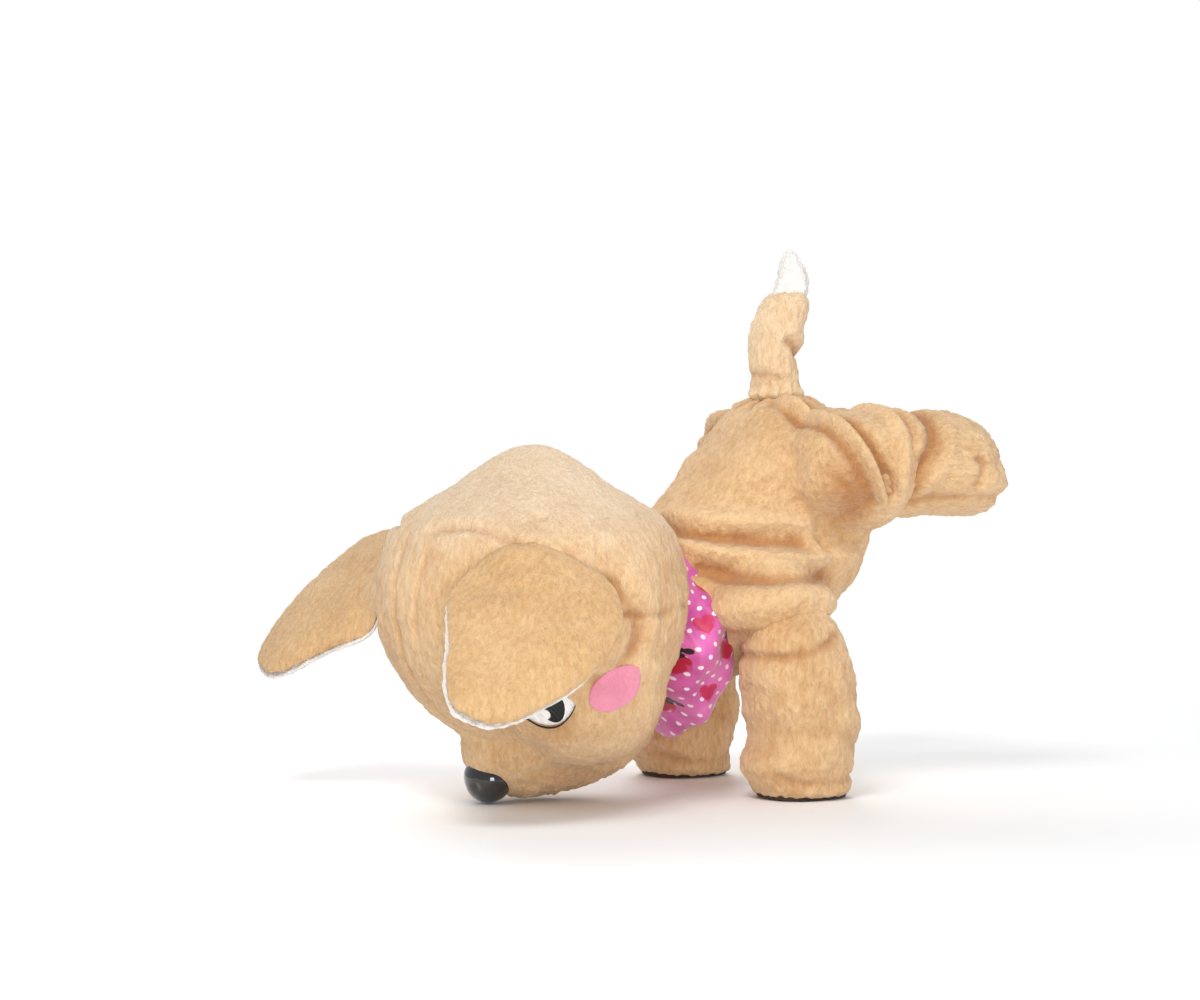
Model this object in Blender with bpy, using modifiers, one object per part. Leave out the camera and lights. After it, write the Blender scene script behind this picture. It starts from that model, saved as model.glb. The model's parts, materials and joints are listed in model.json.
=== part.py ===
"""Plush puppy that tips up onto its front paws and nose and kicks its hind legs.

Metres, +Z up. The puppy faces -X and its left side is towards -Y. The origin is on the floor
under the middle of the whole toy. It is modelled in its handstand: the spine leans up from the
neck to the rump, and both pairs of legs turn on axles that run along Y.
"""

import math

import bmesh
import bpy
from mathutils import Matrix, Vector

# ---------------------------------------------------------------- driving dimensions

PAW_X = 0.0509  # the front paws stand this far behind the origin
GAP = 0.0003  # clearance between pieces that touch
ROUND = 24  # sides of a round body
FINE = 12  # sides of a small round piece

# spine: a line in the middle plane, from the neck to the rump
NECK = Vector((-0.044, 0.0, 0.074))
LEAN = math.radians(49.0)

# torso skin stations: along the spine, half depth, half width
TORSO = (
    (-0.002, 0.0330, 0.0300),
    (0.006, 0.0365, 0.0330),
    (0.018, 0.0400, 0.0348),
    (0.036, 0.0430, 0.0355),
    (0.060, 0.0440, 0.0355),
    (0.084, 0.0440, 0.0355),
    (0.102, 0.0430, 0.0352),
    (0.116, 0.0395, 0.0340),
    (0.128, 0.0320, 0.0290),
    (0.136, 0.0220, 0.0205),
    (0.141, 0.0100, 0.0100),
)
TORSO_POWER = 2.4

# casing stations: along the spine, middle's shift towards the belly, half depth, half width
CASING = (
    (0.005, 0.0190, 0.0150, 0.0190),
    (0.012, 0.0130, 0.0205, 0.0225),
    (0.024, 0.0085, 0.0275, 0.0260),
    (0.040, 0.0020, 0.0335, 0.0285),
    (0.060, 0.0000, 0.0360, 0.0295),
    (0.095, 0.0000, 0.0350, 0.0295),
    (0.118, 0.0000, 0.0280, 0.0260),
    (0.128, 0.0000, 0.0160, 0.0160),
)
CASING_POWER = 4.5
CASING_WALL = 0.0020

# head
HEAD = Vector((-0.117, 0.0, 0.097))
HEAD_RADII = Vector((0.074, 0.078, 0.073))
HEAD_SIDES = (28, 16)  # facets round and up the head
HEAD_SKIN = 0.0040
MUZZLE_PITCH = math.radians(213.0)  # direction of the muzzle in the middle plane
# muzzle stations: X, Z, half depth, half width
MUZZLE = (
    (-0.0740, 0.0780, 0.0260, 0.0340),
    (-0.0860, 0.0600, 0.0440, 0.0470),
    (-0.1010, 0.0440, 0.0385, 0.0400),
    (-0.1130, 0.0345, 0.0335, 0.0350),
    (-0.1250, 0.0255, 0.0265, 0.0285),
    (-0.1340, 0.0185, 0.0185, 0.0205),
    (-0.1400, 0.0140, 0.0115, 0.0130),
)
NOSE = Vector((-0.1420, 0.0, 0.0105))
NOSE_RADII = Vector((0.0100, 0.0125, 0.0105))
INNER_SIDES = (20, 12)  # facets of the small and the hidden balls
EYE_AT = Vector((-0.1360, 0.0455, 0.0440))
CHEEK_AT = Vector((-0.1030, 0.0520, 0.0420))

# ears: root on the head, then how far the tip lies from it
EAR_ROOT = Vector((-0.148, 0.067, 0.114))
EAR_TIP = {"left": Vector((-0.064, 0.032, -0.077)), "right": Vector((-0.064, 0.033, -0.053))}
EAR_FACE = Vector((-0.39, 0.685, 0.613))
EAR_HALF_WIDTH = 0.0385
EAR_THICK = 0.0080
# ear stations: share of the length, share of the half width
EAR_STATIONS = (
    (-0.04, 0.50),
    (0.08, 0.78),
    (0.25, 0.97),
    (0.45, 1.0),
    (0.65, 0.93),
    (0.82, 0.72),
    (0.93, 0.44),
    (0.99, 0.16),
)

# legs
SHOULDER_U = 0.0290
SHOULDER_V = 0.0260
HIP_U = 0.1160
HIP_V = 0.0050
LEG_INNER = 0.0365  # flat inner side of a leg, clear of the torso
FRONT_Y = 0.0540
FRONT_RADIUS = 0.0262
HIND_Y = 0.0395
HIND_RADIUS = 0.0262
HIP_CLEAR = 0.0455  # the hind leg is full width only outside this radius of its axle
SOLE_THICK = 0.0022
AXLE_RADIUS = 0.0030
AXLE_HALF = 0.0580
BONE_RADIUS = 0.0085
BONE_Y = 0.0500
# front leg stations: Z, radius
FRONT_LEG = (
    (SOLE_THICK + GAP, 0.0225),
    (0.0070, 0.0252),
    (0.0160, FRONT_RADIUS),
    (0.0380, FRONT_RADIUS),
    (0.0620, 0.0250),
    (0.0800, 0.0245),
    (0.0920, 0.0205),
    (0.0990, 0.0140),
    (0.1020, 0.0060),
)

# drive: a toothed sector on each axle and a pinion on each motor
MODULE = 0.0015
SECTOR_TEETH = 20  # on the full circle
PINION_TEETH = 10
ADDENDUM = 0.0012
DEDENDUM = 0.0016
TOOTH_FILL = 0.37  # tooth's share of the circular pitch
FLANK = math.radians(20.0)
GEAR_Y = 0.0090
GEAR_HALF = 0.0025
MOTOR_RADIUS = 0.0095
SHAFT_RADIUS = 0.0010
SHOULDER_RANGE = (-10.0, 55.0)
HIP_RANGE = (-31.0, 15.0)

# battery compartment, measured along the spine and towards the belly
TRAY_U = (0.0520, 0.1000)
TRAY_V = (0.0150, 0.0285)
TRAY_HALF = 0.0200
TRAY_WALL = 0.0015
CELL_RADIUS = 0.00525
CELL_LENGTH = 0.0433
CELL_PITCH = 0.0120
COVER_THICK = 0.0022
COVER_REACH = (0.0060, 0.0010)  # how far the cover goes past the tray's ends
OUTSIDE_V = 0.0450  # just outside the casing on the belly side
WINDOW_MARGIN = 0.0020  # room round the cover in the skin
PLATE_GAP = 0.0001
PLATE_THICK = 0.0004
PLATE_HALF = 0.0178
SCREW_RADIUS = 0.0010
SCREW_BORE = 0.0013
BOSS_RADIUS = 0.0036
SCREW_PLACES = ((0.0560, -0.0260), (0.0960, -0.0250), (0.1150, -0.0170))
# screw's profile: radius, depth
SCREW_PROFILE = (
    (0.0, 0.0),
    (0.0022, 0.0),
    (0.0022, 0.0016),
    (SCREW_RADIUS, 0.0016),
    (SCREW_RADIUS, 0.0240),
    (0.0, 0.0250),
)

# switch knob and its slot, along the spine, across the body, towards the belly
KNOB_U = (0.0389, 0.0429)
KNOB_Y = (0.0061, 0.0101)
KNOB_V = (0.0311, 0.0385)
SLOT_Y = (0.0015, 0.0105)
EDGE = 0.0005

# circuit board, and the loudspeaker's profile as radius, depth
BOARD_LOW = (0.0420, -0.0180, -0.0200)
BOARD_HIGH = (0.0880, 0.0180, -0.0184)
SPEAKER_PROFILE = (
    (0.0, 0.0),
    (0.0090, 0.0),
    (0.0130, 0.0040),
    (0.0130, 0.0052),
    (0.0040, 0.0052),
    (0.0, 0.0030),
)

# tail
TAIL_PIVOT = Vector((0.0200, 0.0, 0.1880))
TAIL_BALL_RADIUS = 0.0038
TAIL_ROD_RADIUS = 0.0020
# stations: X, Z, radius
TAIL = (
    (0.0200, 0.1965, 0.0095),
    (0.0190, 0.2020, 0.0118),
    (0.0185, 0.2130, 0.0130),
    (0.0205, 0.2240, 0.0134),
    (0.0240, 0.2330, 0.0120),
    (0.0262, 0.2385, 0.0092),
)
TAIL_TIP = (
    (0.0263, 0.2388, 0.0088),
    (0.0285, 0.2450, 0.0090),
    (0.0295, 0.2520, 0.0072),
    (0.0296, 0.2590, 0.0048),
    (0.0290, 0.2640, 0.0020),
)

# scarf: a band round the neck, tilted back
SCARF = Vector((-0.0430, 0.0, 0.0800))
SCARF_TILT = math.radians(15.0)
SCARF_HALF_DEPTH = 0.0500
SCARF_HALF_WIDTH = 0.0405
SCARF_FROM = -0.0120
SCARF_TO = 0.0095

POST_Z = 0.0970
POST_RADIUS = 0.0080
POST_HOLE_FROM = (-0.075, 0.0, POST_Z)
POST_HOLE_TO = (-0.030, 0.0, POST_Z)
PLATE_X = -0.1120  # the anchor plate in the head
ANCHOR_HALF = 0.0019
ANCHOR_RADIUS = 0.0240
SENSOR_RADIUS = 0.0120

# colours
TAN = (0.76, 0.52, 0.28)
CREAM = (0.90, 0.86, 0.78)
WHITE = (0.92, 0.91, 0.88)
PINK = (0.86, 0.36, 0.62)
BLUSH = (0.90, 0.42, 0.50)
BLACK = (0.012, 0.012, 0.014)
BROWN = (0.10, 0.06, 0.04)
GREY = (0.55, 0.56, 0.58)
ORANGE = (0.85, 0.36, 0.06)
GREEN = (0.03, 0.22, 0.10)
STEEL = (0.62, 0.63, 0.65)


# ---------------------------------------------------------------- scene helpers

for old in list(bpy.data.objects):
    bpy.data.objects.remove(old, do_unlink=True)

PARTS = bpy.data.collections.new("plush_puppy")
CUTTERS = bpy.data.collections.new("cutters")
bpy.context.scene.collection.children.link(PARTS)
bpy.context.scene.collection.children.link(CUTTERS)

stance = bpy.data.objects.new("stance", None)
stance.location = (PAW_X, 0.0, 0.0)
PARTS.objects.link(stance)


def material(name, colour, roughness, metallic=0.0):
    """One Principled material for one piece."""
    made = bpy.data.materials.new(name)
    made.use_nodes = True
    shader = made.node_tree.nodes["Principled BSDF"]
    shader.inputs["Base Color"].default_value = (*colour, 1.0)
    shader.inputs["Roughness"].default_value = roughness
    shader.inputs["Metallic"].default_value = metallic
    return made


def spine(u, v=0.0, y=0.0):
    """A point u along the spine from the neck and v towards the belly."""
    along = Vector((math.cos(LEAN), 0.0, math.sin(LEAN)))
    belly = Vector((math.sin(LEAN), 0.0, -math.cos(LEAN)))
    return NECK + along * u + belly * v + Vector((0.0, y, 0.0))


def spine_frame(u=0.0, v=0.0, y=0.0):
    """Matrix whose X runs along the spine, Y to the puppy's left and Z out of the belly."""
    along = Vector((math.cos(LEAN), 0.0, math.sin(LEAN)))
    belly = Vector((math.sin(LEAN), 0.0, -math.cos(LEAN)))
    side = belly.cross(along)
    basis = Matrix((along, side, belly)).transposed().to_4x4()
    basis.translation = spine(u, v, y)
    return basis


def place(name, mesh, look, parent=None, cutter=False):
    """Make an object from a mesh that is modelled in the paws' frame."""
    made = bpy.data.objects.new(name, mesh)
    if look:
        mesh.materials.clear()
        mesh.materials.append(look)
    if cutter:
        CUTTERS.objects.link(made)
        made.hide_render = True
        made.display_type = "WIRE"
    else:
        PARTS.objects.link(made)
    made.parent = parent or stance
    if parent:
        made.matrix_parent_inverse = Matrix.Translation(-parent.location)
    return made


def pivot(name, location):
    """An empty on a joint's axis, parent of what turns there."""
    made = bpy.data.objects.new(name, None)
    made.location = location
    made.parent = stance
    PARTS.objects.link(made)
    return made


def to_mesh(name, bm, smooth=True):
    """Finish a bmesh: outward faces, smooth shading with sharp edges kept."""
    bmesh.ops.recalc_face_normals(bm, faces=bm.faces)
    mesh = bpy.data.meshes.new(name)
    bm.to_mesh(mesh)
    bm.free()
    if smooth:
        mesh.shade_smooth()
        mesh.set_sharp_from_angle(angle=math.radians(40.0))
    return mesh


def cut(target, cutter, operation="DIFFERENCE"):
    """Cut one object with another, or join or intersect them."""
    step = target.modifiers.new(f"{operation.lower()}_{cutter.name}", "BOOLEAN")
    step.operation = operation
    step.object = cutter
    return target


def ring(centre, across, upright, half_across, half_upright, power=2.0):
    """One closed section of a loft."""
    across = Vector(across).normalized()
    upright = Vector(upright).normalized()
    return centre, across, upright, half_across, half_upright, power


def loft_mesh(name, rings, sides=ROUND):
    """Skin a row of sections that differ in shape, and close both ends."""
    bm = bmesh.new()
    rows = []
    for centre, across, upright, half_across, half_upright, power in rings:
        row = []
        for step in range(sides):
            angle = math.tau * step / sides
            c = math.cos(angle)
            s = math.sin(angle)
            a = math.copysign(abs(c) ** (2.0 / power), c) * half_across
            b = math.copysign(abs(s) ** (2.0 / power), s) * half_upright
            row.append(bm.verts.new(centre + across * a + upright * b))
        rows.append(row)
    for lower, upper in zip(rows, rows[1:]):
        for step in range(sides):
            after = (step + 1) % sides
            bm.faces.new((lower[step], lower[after], upper[after], upper[step]))
    for row, flip in ((rows[0], True), (rows[-1], False)):
        bm.faces.new(row[::-1] if flip else row)
    return to_mesh(name, bm)


def cylinder_mesh(name, start, end, radius, sides=FINE, radius_end=None):
    """A round bar from one point to another."""
    start = Vector(start)
    end = Vector(end)
    span = end - start
    bm = bmesh.new()
    bmesh.ops.create_cone(
        bm,
        cap_ends=True,
        segments=sides,
        radius1=radius,
        radius2=radius if radius_end is None else radius_end,
        depth=span.length,
    )
    turn = span.to_track_quat("Z", "Y").to_matrix().to_4x4()
    turn.translation = (start + end) / 2.0
    bmesh.ops.transform(bm, matrix=turn, verts=bm.verts)
    return to_mesh(name, bm)


def box_mesh(name, low, high, frame=None):
    """A box between two corners, in the paws' frame or in another."""
    low = Vector(low)
    high = Vector(high)
    bm = bmesh.new()
    bmesh.ops.create_cube(bm, size=1.0)
    fit = Matrix.Translation((low + high) / 2.0) @ Matrix.Diagonal((*(high - low), 1.0))
    bmesh.ops.transform(bm, matrix=(frame or Matrix()) @ fit, verts=bm.verts)
    return to_mesh(name, bm, smooth=False)


def ellipsoid_mesh(name, centre, radii, sides=ROUND, rows=14):
    """A round form with three radii."""
    bm = bmesh.new()
    bmesh.ops.create_uvsphere(bm, u_segments=sides, v_segments=rows, radius=1.0)
    fit = Matrix.Translation(centre) @ Matrix.Diagonal((*radii, 1.0))
    bmesh.ops.transform(bm, matrix=fit, verts=bm.verts)
    return to_mesh(name, bm)


def cutter_box(name, low, high, frame=None):
    return place(name, box_mesh(name, low, high, frame), None, cutter=True)


def cutter_rod(name, start, end, radius, sides=FINE):
    return place(name, cylinder_mesh(name, start, end, radius, sides), None, cutter=True)


def mirror_y(side):
    """-1 on the puppy's left, +1 on its right."""
    return -1.0 if side == "left" else 1.0


SIDES = ("left", "right")
SHOULDER = spine(SHOULDER_U, SHOULDER_V)
HIP = spine(HIP_U, HIP_V)
HIND_REACH = 0.1180 - HIP.x  # the foot's far end, measured from the hip
# hind leg stations: X from the hip, radius
HIND_LEG = (
    (-0.0240, 0.0100),
    (-0.0180, 0.0180),
    (-0.0080, 0.0235),
    (0.0060, 0.0255),
    (0.0300, 0.0250),
    (0.0480, 0.0258),
    (0.0620, HIND_RADIUS),
    (0.0720, 0.0235),
    (0.0785, 0.0170),
    (HIND_REACH, 0.0080),
)


# ---------------------------------------------------------------- torso casing and its insides


def torso_rings(grow=0.0):
    rings = []
    for number, (u, depth, width) in enumerate(TORSO):
        if number == 0:
            u -= grow
        belly = spine(0, 1) - spine(0, 0)
        rings.append(ring(spine(u), (0, 1, 0), belly, width + grow, depth + grow, TORSO_POWER))
    return rings


def casing_rings(grow, trim):
    """Casing sections, grown outwards, with both ends moved in by trim."""
    rings = []
    last = len(CASING) - 1
    for number, (u, shift, depth, width) in enumerate(CASING):
        if number == 0:
            u += trim
        if number == last:
            u -= trim
        belly = spine(0, 1) - spine(0, 0)
        rings.append(ring(spine(u, shift), (0, 1, 0), belly, width + grow, depth + grow, CASING_POWER))
    return rings


def make_casing():
    """Two shells that meet on the middle plane, with the holes that both share."""
    inner_form = loft_mesh("casing_hollow", casing_rings(-CASING_WALL, CASING_WALL))
    hollow = place("casing_hollow", inner_form, None, cutter=True)
    window = cutter_box(
        "cover_window",
        (TRAY_U[0] - COVER_REACH[0] - 0.0005, -TRAY_HALF - 0.0005, TRAY_V[1] - 0.001),
        (TRAY_U[1] + COVER_REACH[1] + 0.0005, TRAY_HALF + 0.0005, OUTSIDE_V),
        spine_frame(),
    )
    slot_low = (KNOB_U[0] - 0.0004, SLOT_Y[0], 0.0300)
    slot_high = (KNOB_U[1] + 0.0004, SLOT_Y[1], OUTSIDE_V)
    slot = cutter_box("switch_slot", slot_low, slot_high, spine_frame())
    post_hole = cutter_rod("post_hole", (-0.060, 0, POST_Z), (-0.0330, 0, POST_Z), POST_RADIUS + GAP)
    shared = [hollow, window, slot, post_hole]
    for name, centre in (("shoulder", SHOULDER), ("hip", HIP)):
        reach = Vector((0, AXLE_HALF, 0))
        hole = cutter_rod(f"{name}_casing_hole", centre - reach, centre + reach, AXLE_RADIUS + 2 * GAP)
        shared.append(hole)
    for side in SIDES:
        sign = mirror_y(side)
        name = f"casing_{side}"
        shell = place(name, loft_mesh(name, casing_rings(0.0, 0.0)), material(name, GREY, 0.45))
        low_y = GAP / 2 if sign > 0 else -0.1
        high_y = 0.1 if sign > 0 else -GAP / 2
        half = cutter_box(f"casing_half_{side}", (-0.2, low_y, 0.0), (0.2, high_y, 0.3))
        cut(shell, half, "INTERSECT")
        for tool in shared:
            cut(shell, tool)


def make_casing_screws():
    """Self-tapping screws from the left shell into bosses on the right shell."""
    for number, (u, v) in enumerate(SCREW_PLACES, 1):
        for side in SIDES:
            sign = mirror_y(side)
            shell = bpy.data.objects[f"casing_{side}"]
            boss = place(
                f"boss_{number}_{side}",
                cylinder_mesh("boss", spine(u, v, sign * GAP), spine(u, v, sign * 0.0225), BOSS_RADIUS),
                None,
                cutter=True,
            )
            cut(shell, boss, "UNION")
        outside = spine(u, v, -0.040)
        bore = cutter_rod(f"screw_bore_{number}", outside, spine(u, v, 0.0120), SCREW_BORE)
        head_bore = cutter_rod(f"screw_head_bore_{number}", outside, spine(u, v, -0.0145), 0.0026)
        cut(bpy.data.objects["casing_left"], bore)
        cut(bpy.data.objects["casing_left"], head_bore)
        cut(bpy.data.objects["casing_right"], bore)
        name = f"casing_screw_{number}"
        screw = place(name, profile_mesh(name, SCREW_PROFILE), material(name, STEEL, 0.3, 1.0))
        at_head = Matrix.Translation(spine(u, v, -0.0165))
        screw.matrix_local = at_head @ Matrix.Rotation(math.radians(90), 4, "X")
        turned(screw)


def profile_mesh(name, profile):
    """A chain of edges through (radius, depth) points, to be turned."""
    bm = bmesh.new()
    points = [bm.verts.new((radius, 0.0, -depth)) for radius, depth in profile]
    for first, second in zip(points, points[1:]):
        bm.edges.new((first, second))
    mesh = bpy.data.meshes.new(name)
    bm.to_mesh(mesh)
    bm.free()
    return mesh


def turned(owner, steps=FINE):
    """Turn the object's profile about its own Z axis."""
    spin = owner.modifiers.new("turned", "SCREW")
    spin.steps = steps
    spin.render_steps = steps
    spin.use_merge_vertices = True
    spin.merge_threshold = 0.00001
    spin.use_smooth_shade = False
    return owner


def make_battery_tray():
    """An open tray with three cells side by side and a contact plate at each end."""
    frame = spine_frame()
    low = (TRAY_U[0], -TRAY_HALF, TRAY_V[0])
    high = (TRAY_U[1], TRAY_HALF, TRAY_V[1])
    outside = box_mesh("battery_tray", low, high, frame)
    tray = place("battery_tray", outside, material("battery_tray", GREY, 0.5))
    inside = cutter_box(
        "tray_inside",
        (TRAY_U[0] + TRAY_WALL, -TRAY_HALF + TRAY_WALL, TRAY_V[0] + TRAY_WALL),
        (TRAY_U[1] - TRAY_WALL, TRAY_HALF - TRAY_WALL, OUTSIDE_V),
        frame,
    )
    cut(tray, inside)
    middle = (TRAY_U[0] + TRAY_U[1]) / 2
    cell_v = TRAY_V[0] + TRAY_WALL + CELL_RADIUS + GAP
    for number in range(3):
        y = (number - 1) * CELL_PITCH
        start = spine(middle - CELL_LENGTH / 2, cell_v, y)
        end = spine(middle + CELL_LENGTH / 2, cell_v, y)
        name = f"battery_{number + 1}"
        place(name, cylinder_mesh(name, start, end, CELL_RADIUS), material(name, ORANGE, 0.35, 0.3))
    front_u = TRAY_U[0] + TRAY_WALL + PLATE_GAP
    rear_u = TRAY_U[1] - TRAY_WALL - PLATE_GAP
    ends = (
        ("contact_plate_front", front_u, front_u + PLATE_THICK),
        ("contact_plate_rear", rear_u - PLATE_THICK, rear_u),
    )
    for name, low_u, high_u in ends:
        low = (low_u, -PLATE_HALF, TRAY_V[0] + TRAY_WALL + GAP)
        high = (high_u, PLATE_HALF, TRAY_V[1] - 0.0010)
        place(name, box_mesh(name, low, high, frame), material(name, STEEL, 0.3, 1.0))


def make_battery_cover():
    """A plate on the belly, held by one screw, that lifts off outwards."""
    frame = spine_frame()
    base_v = TRAY_V[1] + GAP
    axis_point = spine((TRAY_U[0] + TRAY_U[1]) / 2, base_v)
    hinge = pivot("battery_cover_lift", axis_point)
    cover = place(
        "battery_cover",
        box_mesh(
            "battery_cover",
            (TRAY_U[0] - COVER_REACH[0], -TRAY_HALF, base_v),
            (TRAY_U[1] + COVER_REACH[1], TRAY_HALF, base_v + COVER_THICK),
            frame,
        ),
        material("battery_cover", GREY, 0.5),
        hinge,
    )
    soften(cover)
    screw_u = TRAY_U[0] - COVER_REACH[0] / 2
    top_v = base_v + COVER_THICK
    bore_from = spine(screw_u, base_v - 0.01)
    cut(cover, cutter_rod("cover_bore", bore_from, spine(screw_u, base_v + 0.01), SCREW_BORE))
    shank = cylinder_mesh(
        "cover_screw", spine(screw_u, base_v - 0.0060), spine(screw_u, top_v + 0.0010), SCREW_RADIUS
    )
    screw = place("cover_screw", shank, material("cover_screw", STEEL, 0.3, 1.0), hinge)
    head_form = cylinder_mesh(
        "cover_screw_head", spine(screw_u, top_v + GAP), spine(screw_u, top_v + 0.0018), 0.0023
    )
    cut(screw, place("cover_screw_head", head_form, None, hinge, cutter=True), "UNION")


def soften(owner):
    """A small chamfer along the object's edges."""
    edge = owner.modifiers.new("edge", "BEVEL")
    edge.width = EDGE
    edge.segments = 1


def make_switch():
    """A fixed housing inside the casing and a knob that slides across the body."""
    frame = spine_frame()
    housing_low = (KNOB_U[0] - 0.0024, -0.0020, 0.0250)
    housing_high = (KNOB_U[1] + 0.0023, 0.0140, KNOB_V[0] - GAP)
    housing = box_mesh("switch_housing", housing_low, housing_high, frame)
    place("switch_housing", housing, material("switch_housing", BLACK, 0.5))
    track = pivot("power_switch_slide", spine(sum(KNOB_U) / 2, 0.0350, -0.0080))
    form = box_mesh(
        "power_switch", (KNOB_U[0], KNOB_Y[0], KNOB_V[0]), (KNOB_U[1], KNOB_Y[1], KNOB_V[1]), frame
    )
    knob = place("power_switch", form, material("power_switch", BLACK, 0.4), track)
    soften(knob)


def make_electronics():
    """The circuit board and the loudspeaker behind it."""
    board = box_mesh("circuit_board", BOARD_LOW, BOARD_HIGH, spine_frame())
    place("circuit_board", board, material("circuit_board", GREEN, 0.4))
    cone = profile_mesh("loudspeaker", SPEAKER_PROFILE)
    speaker = place("loudspeaker", cone, material("loudspeaker", BLACK, 0.5))
    speaker.matrix_local = spine_frame(0.0740, -0.0212)
    turned(speaker, ROUND)


# ---------------------------------------------------------------- drive


def tooth_edge(centre_angle, radius):
    """The four corners of one tooth, as (radius, angle)."""
    half = TOOTH_FILL * math.pi * MODULE / 2.0
    tip = radius + ADDENDUM
    root = radius - DEDENDUM
    half_tip = half - ADDENDUM * math.tan(FLANK)
    half_root = half + DEDENDUM * math.tan(FLANK)
    return (
        (root, centre_angle - half_root / root),
        (tip, centre_angle - half_tip / tip),
        (tip, centre_angle + half_tip / tip),
        (root, centre_angle + half_root / root),
    )


def flat_piece(name, outline, bore, look, location, parent):
    """A flat outline with a round bore, standing across the Y axis."""
    curve = bpy.data.curves.new(name, "CURVE")
    curve.dimensions = "2D"
    curve.fill_mode = "BOTH"
    curve.extrude = GEAR_HALF
    circle = [(bore, math.tau * step / FINE) for step in range(FINE)]
    for points in (outline, circle):
        spline = curve.splines.new("POLY")
        spline.points.add(len(points) - 1)
        for point, (radius, angle) in zip(spline.points, points):
            point.co = (radius * math.cos(angle), radius * math.sin(angle), 0.0, 1.0)
        spline.use_cyclic_u = True
    curve.materials.append(look)
    made = bpy.data.objects.new(name, curve)
    PARTS.objects.link(made)
    made.parent = parent
    made.location = location - parent.location
    made.rotation_euler = (math.radians(90.0), 0.0, 0.0)
    return made


def make_drive(name, axle_name, centre, mesh_angle, swing, axle_parent):
    """Sector on the axle, motor, shaft and pinion for one pair of legs."""
    sector_radius = MODULE * SECTOR_TEETH / 2.0
    pinion_radius = MODULE * PINION_TEETH / 2.0
    pitch = math.tau / SECTOR_TEETH
    low = mesh_angle - math.radians(swing[1])
    high = mesh_angle - math.radians(swing[0])
    before = math.ceil((mesh_angle - low) / pitch) + 1
    after = math.ceil((high - mesh_angle) / pitch) + 1
    outline = []
    for step in range(-before, after + 1):
        outline.extend(tooth_edge(mesh_angle + step * pitch, sector_radius))
    hub = AXLE_RADIUS + 0.0018
    first_angle = outline[-1][1] + math.radians(50.0)
    last_angle = outline[0][1] + math.tau - math.radians(50.0)
    for step in range(9):
        outline.append((hub, first_angle + (last_angle - first_angle) * step / 8.0))
    at_gear = centre + Vector((0, GEAR_Y, 0))
    look = material(f"{name}_sector", WHITE, 0.4)
    flat_piece(f"{name}_sector", outline, AXLE_RADIUS + GAP, look, at_gear, axle_parent)

    spacing = sector_radius + pinion_radius
    middle = centre + Vector((math.cos(mesh_angle), 0.0, math.sin(mesh_angle))) * spacing
    spin = pivot(f"{name}_pinion_spin", middle)
    outline = []
    for step in range(PINION_TEETH):
        angle = mesh_angle + math.pi + math.tau * (step + 0.5) / PINION_TEETH
        outline.extend(tooth_edge(angle, pinion_radius))
    at_pinion = middle + Vector((0, GEAR_Y, 0))
    look = material(f"{name}_pinion", WHITE, 0.4)
    flat_piece(f"{name}_pinion", outline, SHAFT_RADIUS + GAP, look, at_pinion, spin)
    shaft_from = middle + Vector((0, -0.0100, 0))
    shaft = cylinder_mesh("shaft", shaft_from, middle + Vector((0, 0.0130, 0)), SHAFT_RADIUS)
    place(f"{name}_motor_shaft", shaft, material(f"{name}_motor_shaft", STEEL, 0.2, 1.0), spin)
    can_from = middle + Vector((0, -0.0215, 0))
    can = cylinder_mesh("can", can_from, middle + Vector((0, 0.0050, 0)), MOTOR_RADIUS, ROUND)
    motor = place(f"{name}_motor", can, material(f"{name}_motor", STEEL, 0.35, 1.0))
    bore_from = middle + Vector((0, -0.0105, 0))
    bore_to = middle + Vector((0, 0.0100, 0))
    cut(motor, cutter_rod(f"{name}_motor_bore", bore_from, bore_to, SHAFT_RADIUS + GAP))
    reach = Vector((0, AXLE_HALF, 0))
    axle = cylinder_mesh(axle_name, centre - reach, centre + reach, AXLE_RADIUS)
    place(axle_name, axle, material(axle_name, STEEL, 0.25, 1.0), axle_parent)


# ---------------------------------------------------------------- skins


def make_torso_skin():
    skin = place("torso_skin", loft_mesh("torso_skin", torso_rings()), material("torso_skin", TAN, 0.95))
    lining = place("torso_lining", loft_mesh("torso_lining", casing_rings(GAP, -GAP)), None, cutter=True)
    head_form = place(
        "head_form",
        ellipsoid_mesh("head_form", HEAD, HEAD_RADII + Vector((GAP, GAP, GAP)), *HEAD_SIDES),
        None,
        cutter=True,
    )
    belly = cutter_box(
        "belly_window",
        (0.0375, -TRAY_HALF - WINDOW_MARGIN, 0.020),
        (TRAY_U[1] + 0.0010 + WINDOW_MARGIN, TRAY_HALF + WINDOW_MARGIN, 0.060),
        spine_frame(),
    )
    hole_from = TAIL_PIVOT + Vector((0, 0, -0.0090))
    tail_hole = cutter_rod("tail_hole", hole_from, TAIL_PIVOT + Vector((0, 0, 0.02)), 0.0055)
    post_hole = cutter_rod("post_skin_hole", POST_HOLE_FROM, POST_HOLE_TO, POST_RADIUS + 2 * GAP)
    for tool in (lining, head_form, belly, tail_hole, post_hole):
        cut(skin, tool)
    for name, centre in (("shoulder", SHOULDER), ("hip", HIP)):
        reach = Vector((0, AXLE_HALF, 0))
        cut(skin, cutter_rod(f"{name}_skin_hole", centre - reach, centre + reach, AXLE_RADIUS + 2 * GAP))


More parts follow.
